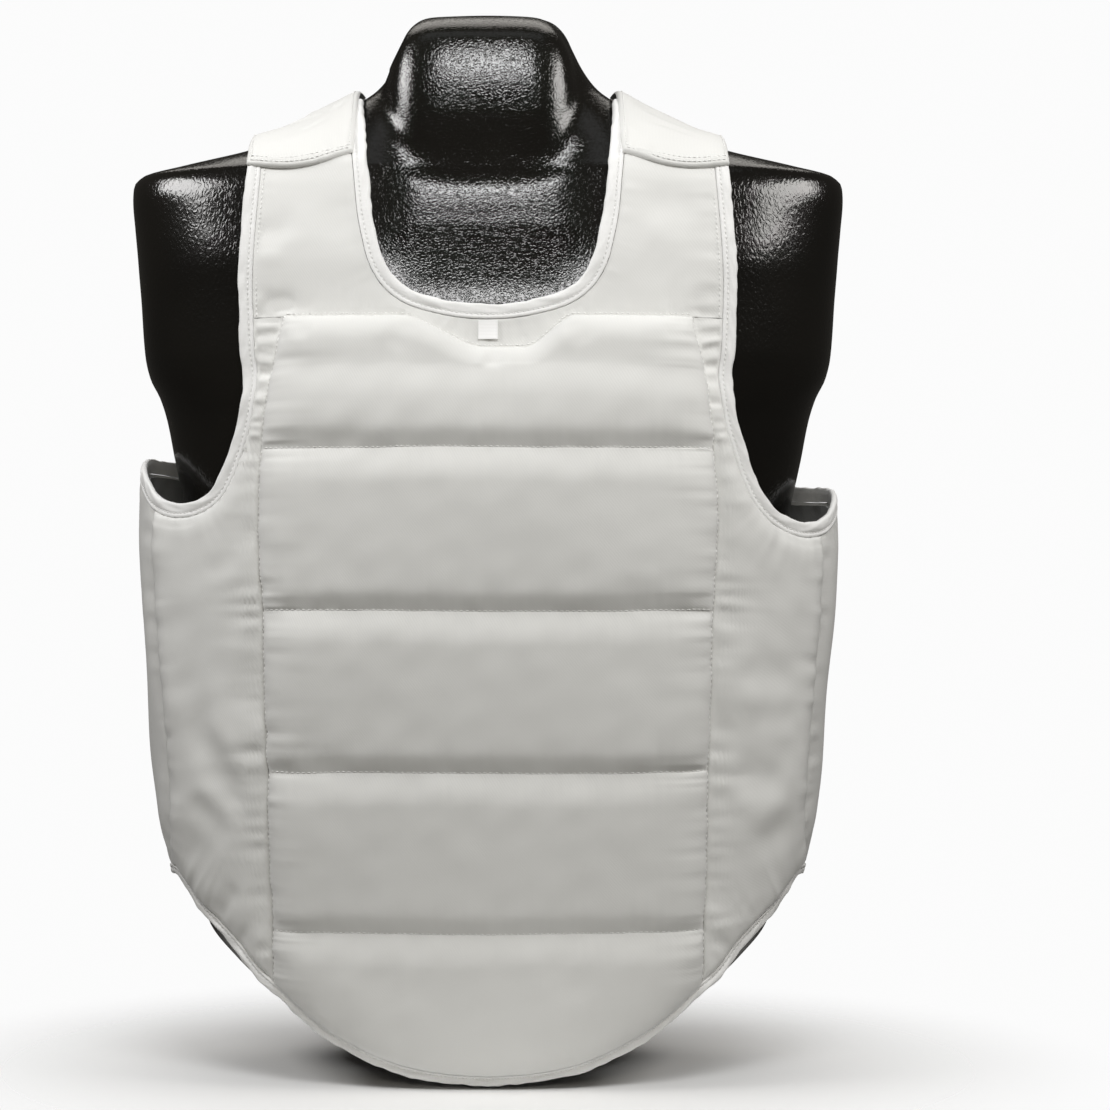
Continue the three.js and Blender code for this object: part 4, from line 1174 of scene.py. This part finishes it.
shares = evenly(0, 1, CHANNEL_ROWS)
row_shares = mix(shares, 0.5 - 0.5 * np.cos(np.pi * shares), 0.75)
across_shares = evenly(-1, 1, 2 * PAD_COLUMNS)
across_shares = mix(across_shares, np.sin(across_shares * np.pi / 2), 0.55)
pad_bases, pad_outers = [], []
for channel in range(CHANNELS):
    v = row_shares[:, None] if channel == 0 else row_shares[1:, None]
    level = mix(PAD_EDGES[channel](120.0), PAD_EDGES[channel + 1](120.0), v)
    half = np.where(across_shares > 0, pad_edge(level, "left"), pad_edge(level, "right")) - SEAM_GAP / 2
    x = across_shares * half
    z = mix(PAD_EDGES[channel](x), PAD_EDGES[channel + 1](x), v)
    pad_bases.append(on_front(x, z))
    pad_outers.append(pad_point(x, z, channel))
pad_base, pad_outer = np.vstack(pad_bases), np.vstack(pad_outers)
pad_cover = add_piece("pad_cover", *wall_mesh([(pad_base, pad_outer, pad_base)], 8), white_twill)
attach(pad_cover, "root")
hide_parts("pad_panel")

# ----------------------------------------------------------------------------------------------
# Front yoke. Plain white twill over felt, cut in one with the two front straps, sewn to the top of the
# padded panel and bound at the neck and armholes.

YOKE_FINE = 8
PAD_CORNERS = (0, 0.1, 0.2, 0.3, 0.42, 0.6, 0.77, 0.88, 0.95, 1)
front_neck = line_through([
    on_shoulder(79.5, STRAP_END),
    on_shoulder(77, 60),
    on_front(73.5, 562),
    on_front(71.5, 543),
    on_front(68.5, 528),
    on_front(64.6, 514),
    on_front(57, 501.5),
    on_front(46, 493.5),
    on_front(30, 488.4),
    on_front(14, 485.6),
    on_front(0, 484.8),
])
front_neck_cloth = beside(front_neck, TAPE_WIDTH + SEAM_GAP, 1)
NECK_TURN_HEIGHT = 514
neck_turn = share_where(front_neck_cloth, lambda p: p[:, 2] < NECK_TURN_HEIGHT)

YOKE_CREASES = [
    (-149, 531, -122, 526, 9, 0.8, 0),
    (97, 549, 133, 541, 12, 1.0, 2),
    (-142, 489.5, -116, 486, 5, 1.5, 1.5),
    (-150, 479, -118, 478, 4.2, 1.5, 0.8),
    (148, 480, 120, 479, 4, 1.0, -0.8),
    (-149, 528, -116, 543, 9, 0.9, 3),
    (-147, 484, -116, 478, 8, 1.0, -2),
    (-134, 492, -104, 480, 9, 0.9, 3),
    (-92, 556, -86, 520, 12, 0.5, 4),
    (88, 546, 132, 552, 11, 0.9, -4),
    (96, 520, 118, 506, 12, 0.5, 4),
    (147, 492, 124, 478, 8, 0.9, 2),
    (60, 488, 44, 480, 9, 0.5, 2),
]


def yoke_grid(half):
    """From the neck binding out to the armhole binding and, below the straps, down to the padded panel."""
    strap = half.armhole_cloth(evenly(0, half.pad_corner, 10 * YOKE_FINE))
    corners = np.interp(evenly(0, 9, 9 * YOKE_FINE), range(10), PAD_CORNERS)[::-1]
    x = corners * (pad_edge(PAD_TOP, half.side) - SEAM_GAP / 2)
    lower = on_front(x, pad_top(x) + SEWN_GAP)
    jump = mix(strap[-1], lower[0], evenly(0, 1, YOKE_FINE)[1:-1, None])
    outer = np.vstack([strap, jump, lower])
    inner = np.vstack([
        front_neck_cloth(evenly(0, neck_turn, 10 * YOKE_FINE)),
        front_neck_cloth(evenly(neck_turn, 1, 10 * YOKE_FINE))[1:],
    ])
    grid = grid_between(inner, outer, 5 * YOKE_FINE)
    grid[-1] = on_front(0, grid[-1, :, 2])
    return grid


yoke_walls = []
for side, sign in SIDES:
    grid = yoke_grid(halves[side])
    flipped = on_half(sign, grid)
    pad_line_x = evenly(0, pad_half(PAD_TOP), 400)
    pad_line = on_front(pad_line_x, pad_top(pad_line_x))
    seams = [away_from(grid, line) for line in (halves[side].armhole_cloth, front_neck_cloth, pad_line)]
    to_arm, to_neck, to_pad = (distance for distance, _ in seams)
    to_edge = np.minimum(np.minimum(to_arm, to_neck), to_pad)
    seed = 300 if sign > 0 else 320
    gathers = gathered(seams, ((0.3, 5, 6.5), (0.22, 4, 6), (0.35, 6, 5)), seed)
    soft = 0.35 * lumps(flipped, 40, seed + 9) + creases(flipped, on_front, YOKE_CREASES)
    moved = np.maximum(soft * smooth_step(to_edge / 6) + gathers, -1.6)
    edge = 0.35 * (1 - fullness(np.minimum(to_arm, to_neck), 2.2))
    yoke_walls.append(wall_over(grid, CLOTH + moved - edge, np.clip(moved, 0, 0.6), sign))
yoke_cloth = add_piece("yoke_cloth", *wall_mesh(yoke_walls, YOKE_FINE), white_twill)
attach(yoke_cloth, "root")
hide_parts("front_yoke")

# ----------------------------------------------------------------------------------------------
# Bindings. White woven tape folded over every free edge and stitched through near its inner edge. The
# turned part is soft and a little wavy, and the stitching leaves a groove with a firm ridge beside it.

TAPE_STEP = 1.5
TAPE_SECTION = np.array([
    # distance from the edge as a share of the tape's width, height over the garment's surface
    (0.000, 1.20),
    (0.020, 2.15),
    (0.075, 2.85),
    (0.170, 3.25),
    (0.290, 3.40),
    (0.420, 3.38),
    (0.540, 3.22),
    (0.625, 2.98),
    (0.675, 2.72),
    (0.705, 2.64),
    (0.740, 2.78),
    (0.800, 3.12),
    (0.870, 3.22),
    (0.935, 3.10),
    (0.980, 2.85),
    (1.000, 2.45),
    (1.000, 0.60),
    (0.985, -0.45),
    (0.500, -0.50),
    (0.100, -0.50),
    (0.025, -0.05),
])
STITCH_LINE = 0.705
STITCH_PITCH = 3.2
HEM_END = 0.0004


def binding_tape():
    """Fine ribs across the tape, which follow it round its curves."""
    material, tree, output = blank_material("white_tape")
    along = node(tree, "UVMap", uv_map="tape")
    place = node(tree, "TexCoord").outputs["Object"]
    ribs = node(tree, "TexWave", Vector=along.outputs[0], Scale=rib_scale(0.9), Distortion=0.6, Detail=1.0)
    fuzz = noise(tree, place, 1500.0, 3.0)
    crumple = noise(tree, place, 130.0, 3.0)
    height = plus(tree, maths(tree, "MULTIPLY", ribs.outputs["Fac"], 0.2), fuzz, 0.8)
    wide = node(tree, "Bump", Strength=0.5, Distance=0.0007, Height=crumple)
    fine = node(tree, "Bump", Strength=0.2, Distance=0.00008, Height=height, Normal=wide.outputs[0])
    tone = plus(tree, maths(tree, "MULTIPLY", crumple, 0.5), height, 0.25)
    dye = dyed(tree, tone, (0.78, 0.78, 0.775), (0.90, 0.90, 0.895), 0.2, 0.8)
    surface(tree, output, Base_Color=dye, Roughness=0.78, Normal=fine.outputs[0],
            Specular_IOR_Level=0.25, Sheen_Weight=0.15, Sheen_Roughness=0.45)
    return material


white_tape = binding_tape()


def tape_mesh(line, side, width, seed, gap=0):
    """Points, faces and tape coordinates of a binding along a line, short of its ends by a gap."""
    gone = travelled(line(DENSE))
    first, last = np.interp([gap, 1 - gap], DENSE, gone)
    travel = evenly(first, last, int((last - first) / TAPE_STEP))
    t = np.interp(travel, gone, DENSE)
    share, height = TAPE_SECTION[:, 0], TAPE_SECTION[:, 1]
    s = travel[:, None]
    outside = (height > 1.0) * np.ones_like(s)
    soft = outside * np.sin(np.pi * np.clip(share / 0.66, 0, 1))
    rim_wave = 0.45 * (wander(s, 14, seed) + wander(s, 5.6, seed + 1)) * (1 - smooth_step(share / 0.45))
    distance = share * width + rim_wave
    swell = soft * (0.55 * wander(s, 12, seed + 2) + 0.42 * wander(s + 30 * share, 5.0, seed + 3))
    pulled = 0.5 + 0.5 * np.cos(2 * np.pi * s / STITCH_PITCH)
    scallop = -0.16 * pulled * np.exp(-(((share - STITCH_LINE) / 0.05) ** 2))
    ridge = 0.10 * wander(s, 6, seed + 4) * outside * np.exp(-(((share - 0.86) / 0.09) ** 2))
    raised = height + swell + scallop * outside + ridge
    across = across_at(line, t, side)[:, None]
    base = settle(line(t)[:, None] + across * distance[..., None])
    points = lifted(base, raised)
    faces = tube_faces(*points.shape[:2])
    if side < 0:
        faces = [face[::-1] for face in faces]
    round_section = travelled(TAPE_SECTION * (width, 1))
    tape_place = np.stack(np.broadcast_arrays(s, round_section), axis=-1).reshape(-1, 2) * MM
    return points.reshape(-1, 3), faces, tape_place


def add_tape(name, node_name, mesh, sign=1):
    """One binding from its mesh, on the half of the garment that has the sign."""
    points, faces, places = mesh
    faces = faces if sign > 0 else [face[::-1] for face in faces]
    tape = add_piece(name, on_half(sign, points), faces, white_tape, crisp=75)
    corners = np.empty(len(tape.data.loops), dtype=np.int32)
    tape.data.loops.foreach_get("vertex_index", corners)
    tape.data.uv_layers.new(name="tape").data.foreach_set("uv", places[corners].ravel())
    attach(tape, "root")
    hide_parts(node_name)
    return tape


def through_middle(line):
    """The line down the left side and, mirrored, back up the right."""
    def whole(t):
        t = np.asarray(t)
        near, far = line(np.minimum(2 * t, 1)), on_half(-1, line(np.minimum(2 - 2 * t, 1)))
        return np.where((t < 0.5)[..., None], near, far)
    return line_on(DENSE, whole(DENSE))


neck_front = through_middle(front_neck)
neck_back = through_middle(back_neck)
hem_front = through_middle(front_hem)
hem_back = through_middle(back_hem)
neck_tape_front = add_tape(
    "neck_tape_front", "neck_binding_front", tape_mesh(neck_front, 1, TAPE_WIDTH, 400))
neck_tape_back = add_tape(
    "neck_tape_back", "neck_binding_back", tape_mesh(neck_back, -1, TAPE_WIDTH, 410))
add_tape("hem_tape_front", "hem_binding_front", tape_mesh(hem_front, -1, HEM_TAPE_WIDTH, 420, HEM_END))
hem_tape_back = add_tape(
    "hem_tape_back", "hem_binding_back", tape_mesh(hem_back, 1, HEM_TAPE_WIDTH, 430, HEM_END))
for side, sign in SIDES:
    armhole_mesh = tape_mesh(halves[side].armhole, -1, TAPE_WIDTH, 440 if sign > 0 else 450)
    add_tape("armhole_tape_" + side, "armhole_binding_" + side, armhole_mesh, sign)

# ----------------------------------------------------------------------------------------------
# Shoulder flaps. The ends of the back straps, doubled, with turned and topstitched edges. They come over
# the shoulder's ridge and close on the front straps with hook-and-loop tape out of sight beneath them.

FLAP_LIFT = CLOTH + 1.1
FLAP_THICKNESS = 2.8
FLAP_START = 89.8
FLAP_END = 53
FLAP_BORDER = 5.2
FLAP_ROWS_SEWN = (2.6, 4.9)
FLAP_ROWS = 110
FLAP_COLUMNS = 72
FLAP_CREASES = {
    "right": [
        (126, 88, 96, 74, 2.6, 1.3, -2),
        (130, 79, 97, 73, 2.3, 1.1, 1),
        (98, 73.5, 86, 76, 3, 0.8, 0),
        (119, 65, 98, 70, 2.6, 0.5, 0),
        (108, 70, 140, 62, 9, 0.5, -3),
    ],
    "left": [
        (90, 85, 120, 83.5, 2.0, 0.8, 0.6),
        (90, 77, 136, 71, 5, 0.9, 2),
        (96, 68, 140, 63, 3, 0.5, -1),
        (88, 66, 104, 62, 5, 0.4, 2),
    ],
}


def flap_place(t, s):
    """A point under the flap and its lift: t runs from the ridge to the end, s from neck to arm."""
    degrees = mix(FLAP_START, FLAP_END, t) - 3 * np.sin(np.pi * s) * t
    base = on_shoulder(mix(mix(79.5, 84, t), 150.5, s), degrees)
    return base, FLAP_LIFT * smooth_step((FLAP_START - degrees) / 9)


t, s = np.meshgrid(evenly(0, 1, FLAP_ROWS), evenly(0, 1, FLAP_COLUMNS), indexing="ij")
flap_base, flap_low = flap_place(t, s)
end_line = flap_base[-1]
to_end, end_along = away_from(flap_base, end_line)
to_sides = np.minimum(away_from(flap_base, flap_base[:, 0])[0], away_from(flap_base, flap_base[:, -1])[0])
to_rim = np.minimum(to_end, to_sides)
for side, sign in SIDES:
    seed = 500 if sign > 0 else 520
    border = 0.5 * (1 - smooth_step((to_end - FLAP_BORDER) / 1.2)) * fullness(to_end, 2)
    grooves = sum(0.5 * np.exp(-(((to_end - row) / 0.6) ** 2)) for row in FLAP_ROWS_SEWN)
    grooves = grooves + 0.26 * np.exp(-(((to_sides - FLAP_ROWS_SEWN[0]) / 0.55) ** 2))
    wrinkles = puckers(to_end, end_along, 0.3, 4, 5, seed) + 0.25 * lumps(flap_base, 24, seed + 3)
    wrinkles = wrinkles + creases(flap_base, on_shoulder, FLAP_CREASES[side]) * smooth_step(to_rim / 6)
    low = flap_low - 0.7 * (1 - smooth_step(to_rim / 9)) * smooth_step(flap_low - 1)
    thick = FLAP_THICKNESS - 1.6 * (1 - fullness(to_rim, 3.5)) + border - grooves
    high = low + np.maximum(thick + wrinkles * smooth_step(to_rim / 3), 0.8)
    wall = wall_over(flap_base, high, low, sign)
    flap = add_piece("flap_cloth_" + side, *wall_mesh([wall], 2), white_twill)
    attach(flap, "root")
    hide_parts("shoulder_flap_" + side)

# ----------------------------------------------------------------------------------------------
# Size label. A small woven satin label, caught under the neck binding and left bare.

LABEL_HALF_WIDTH = 6
LABEL_TOP = 474.7
LABEL_FOOT = 462.7
t, s = np.meshgrid(evenly(0, 1, 24), evenly(-1, 1, 24), indexing="ij")
label_base = on_front(s * LABEL_HALF_WIDTH, mix(LABEL_TOP, LABEL_FOOT, t))
curl = 0.7 * t**2 + 0.25 * t * np.sin(2.2 * s + 0.5)
selvedge = 0.12 * (np.abs(s) > 0.86)
label_wall = wall_over(label_base, CLOTH + 0.75 + curl + selvedge, CLOTH + 0.35 + curl)

label_satin, tree, output = blank_material("label_satin")
place = node(tree, "TexCoord").outputs["Object"]
floats = node(tree, "TexWave", Vector=place, bands_direction="Z", Scale=rib_scale(0.45), Distortion=0.4)
thread = node(tree, "Bump", Strength=0.3, Distance=0.00008, Height=floats.outputs["Fac"])
dye = dyed(tree, floats.outputs["Fac"], (0.84, 0.84, 0.84), (0.93, 0.93, 0.93))
surface(tree, output, Base_Color=dye, Roughness=0.42, Normal=thread.outputs[0], Sheen_Weight=0.3)
label = add_piece("label_woven", *wall_mesh([label_wall], 2), label_satin)
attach(label, "root")
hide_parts("size_label")

# ----------------------------------------------------------------------------------------------
# Stitching. White polyester thread in a lockstitch: each stitch lies proud between two needle holes.
# It runs along every binding, down both sides of the padded panel, across it, and round the flaps.

THREAD_RADIUS = 0.34

white_thread, tree, output = blank_material("white_thread")
place = node(tree, "TexCoord").outputs["Object"]
twist = node(tree, "TexWave", Vector=place, bands_direction="DIAGONAL", Scale=rib_scale(0.5), Distortion=1.0)
lay = node(tree, "Bump", Strength=0.5, Distance=0.00008, Height=twist.outputs["Fac"])
dye = dyed(tree, twist.outputs["Fac"], (0.70, 0.70, 0.69), (0.86, 0.86, 0.85))
surface(tree, output, Base_Color=dye, Roughness=0.5, Normal=lay.outputs[0], Sheen_Weight=0.2)


def row_of_stitches(path, pitch=STITCH_PITCH, radius=THREAD_RADIUS, seed=0):
    """Thread stitches along a path of points that lies on the cloth."""
    gone = travelled(path)
    along = line_on(gone, path)
    count = max(1, int(gone[-1] / pitch))
    rng = np.random.default_rng(seed)
    starts = (np.arange(count) + 0.5) * gone[-1] / count + rng.uniform(-0.18, 0.18, count)
    reach = pitch * rng.uniform(0.36, 0.43, count)
    a, b = along(starts - reach), along(starts + reach)
    out = normal_at(mix(a, b, 0.5))
    run = unit(b - a)
    sideways = unit(np.cross(run, out))
    shares = np.array([0.0, 0.28, 0.72, 1.0])
    widths = np.array([0.35, 1.0, 1.0, 0.35]) * radius
    lifts = np.array([-0.25, 0.12, 0.12, -0.25])
    angles = np.arange(5) * 2 * np.pi / 5
    centre = mix(a[:, None], b[:, None], shares[:, None]) + out[:, None] * lifts[:, None]
    ring = (out[:, None, None] * np.cos(angles)[:, None] + sideways[:, None, None] * np.sin(angles)[:, None])
    points = centre[:, :, None] + ring * widths[:, None, None]
    ids = np.arange(points[..., 0].size).reshape(count, 4, 5)
    ahead = np.roll(ids, -1, axis=2)
    sides = np.stack([ids[:, :-1], ids[:, 1:], ahead[:, 1:], ahead[:, :-1]], axis=-1).reshape(-1, 4)
    ends = ids[:, 0].tolist() + ids[:, -1, ::-1].tolist()
    return points.reshape(-1, 3), sides.tolist() + ends


def add_stitching(name, rows):
    points, faces, count = [], [], 0
    for row_points, row_faces in rows:
        points.append(row_points)
        faces += [[v + count for v in face] for face in row_faces]
        count += len(row_points)
    sewn = add_piece(name, np.vstack(points), faces, white_thread)
    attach(sewn, "root")
    return sewn


def raised_path(line, distance, side, height, start=0.0, end=1.0):
    """A path beside a line on the garment, a height above its surface."""
    t = DENSE[(DENSE >= start) & (DENSE <= end)]
    base = settle(line(t) + across_at(line, t, side) * distance)
    return lifted(base, height)


TAPE_GROOVE = 2.72
rows = [
    row_of_stitches(raised_path(line, STITCH_LINE * width, side, TAPE_GROOVE), seed=seed)
    for line, width, side, seed in (
        (neck_front, TAPE_WIDTH, 1, 1), (neck_back, TAPE_WIDTH, -1, 2),
        (hem_front, HEM_TAPE_WIDTH, -1, 3), (hem_back, HEM_TAPE_WIDTH, 1, 4))
]
for side, sign in SIDES:
    half = halves[side]
    armhole_row = raised_path(half.armhole, STITCH_LINE * TAPE_WIDTH, -1, TAPE_GROOVE)
    strap_row = raised_path(half.armhole, TAPE_WIDTH + 2.6, -1, CLOTH, 0, half.pad_corner)
    rows += [row_of_stitches(on_half(sign, armhole_row), seed=5),
             row_of_stitches(on_half(sign, strap_row), radius=0.26, seed=6)]
add_stitching("binding_stitches", rows)

rows = []
for channel in range(CHANNELS):
    for sign in (1, -1):
        edge_x = sign * (pad_half(np.array([PAD_TOP, 60])) - 1.5)
        top = PAD_EDGES[channel](edge_x[0]) - 0.6
        bottom = PAD_EDGES[channel + 1](edge_x[-1]) + 0.6
        z = evenly(top, bottom, 120)
        x = sign * (pad_edge(z, "left" if sign > 0 else "right") - SEAM_GAP - 0.7)
        rows.append(row_of_stitches(pad_point(x, z, channel), pitch=3.4, seed=20 + channel))
for i, seam in enumerate(QUILT_SEAMS):
    x = evenly(-1, 1, 300) * (pad_half(seam) - 3)
    rows.append(row_of_stitches(pad_point(x, seam_height(seam, x) + 0.35, i), pitch=3.6, seed=30 + i))
x = evenly(-1, 1, 400) * (pad_half(PAD_TOP) - 2)
rows.append(row_of_stitches(lifted(on_front(x, pad_top(x) + 1.7), CLOTH + 0.05), pitch=3.4, seed=40))
add_stitching("pad_stitches", rows)

rows = []
flap_length = np.linalg.norm(flap_base[-1] - flap_base[0], axis=-1).mean()
flap_rows = [(1 - row / flap_length, evenly(0.035, 0.965, 160), 0.05, 50) for row in FLAP_ROWS_SEWN]
flap_rows += [(evenly(0.06, 0.955, 160), column, 0.1, 60) for column in (0.037, 0.963)]
for sign in (1, -1):
    for t, s, sunk, seed in flap_rows:
        base, low = flap_place(*np.broadcast_arrays(t, s))
        path = lifted(base, low + FLAP_THICKNESS - sunk)
        rows.append(row_of_stitches(on_half(sign, path), seed=seed))
add_stitching("flap_stitches", rows)

bpy.context.view_layer.update()
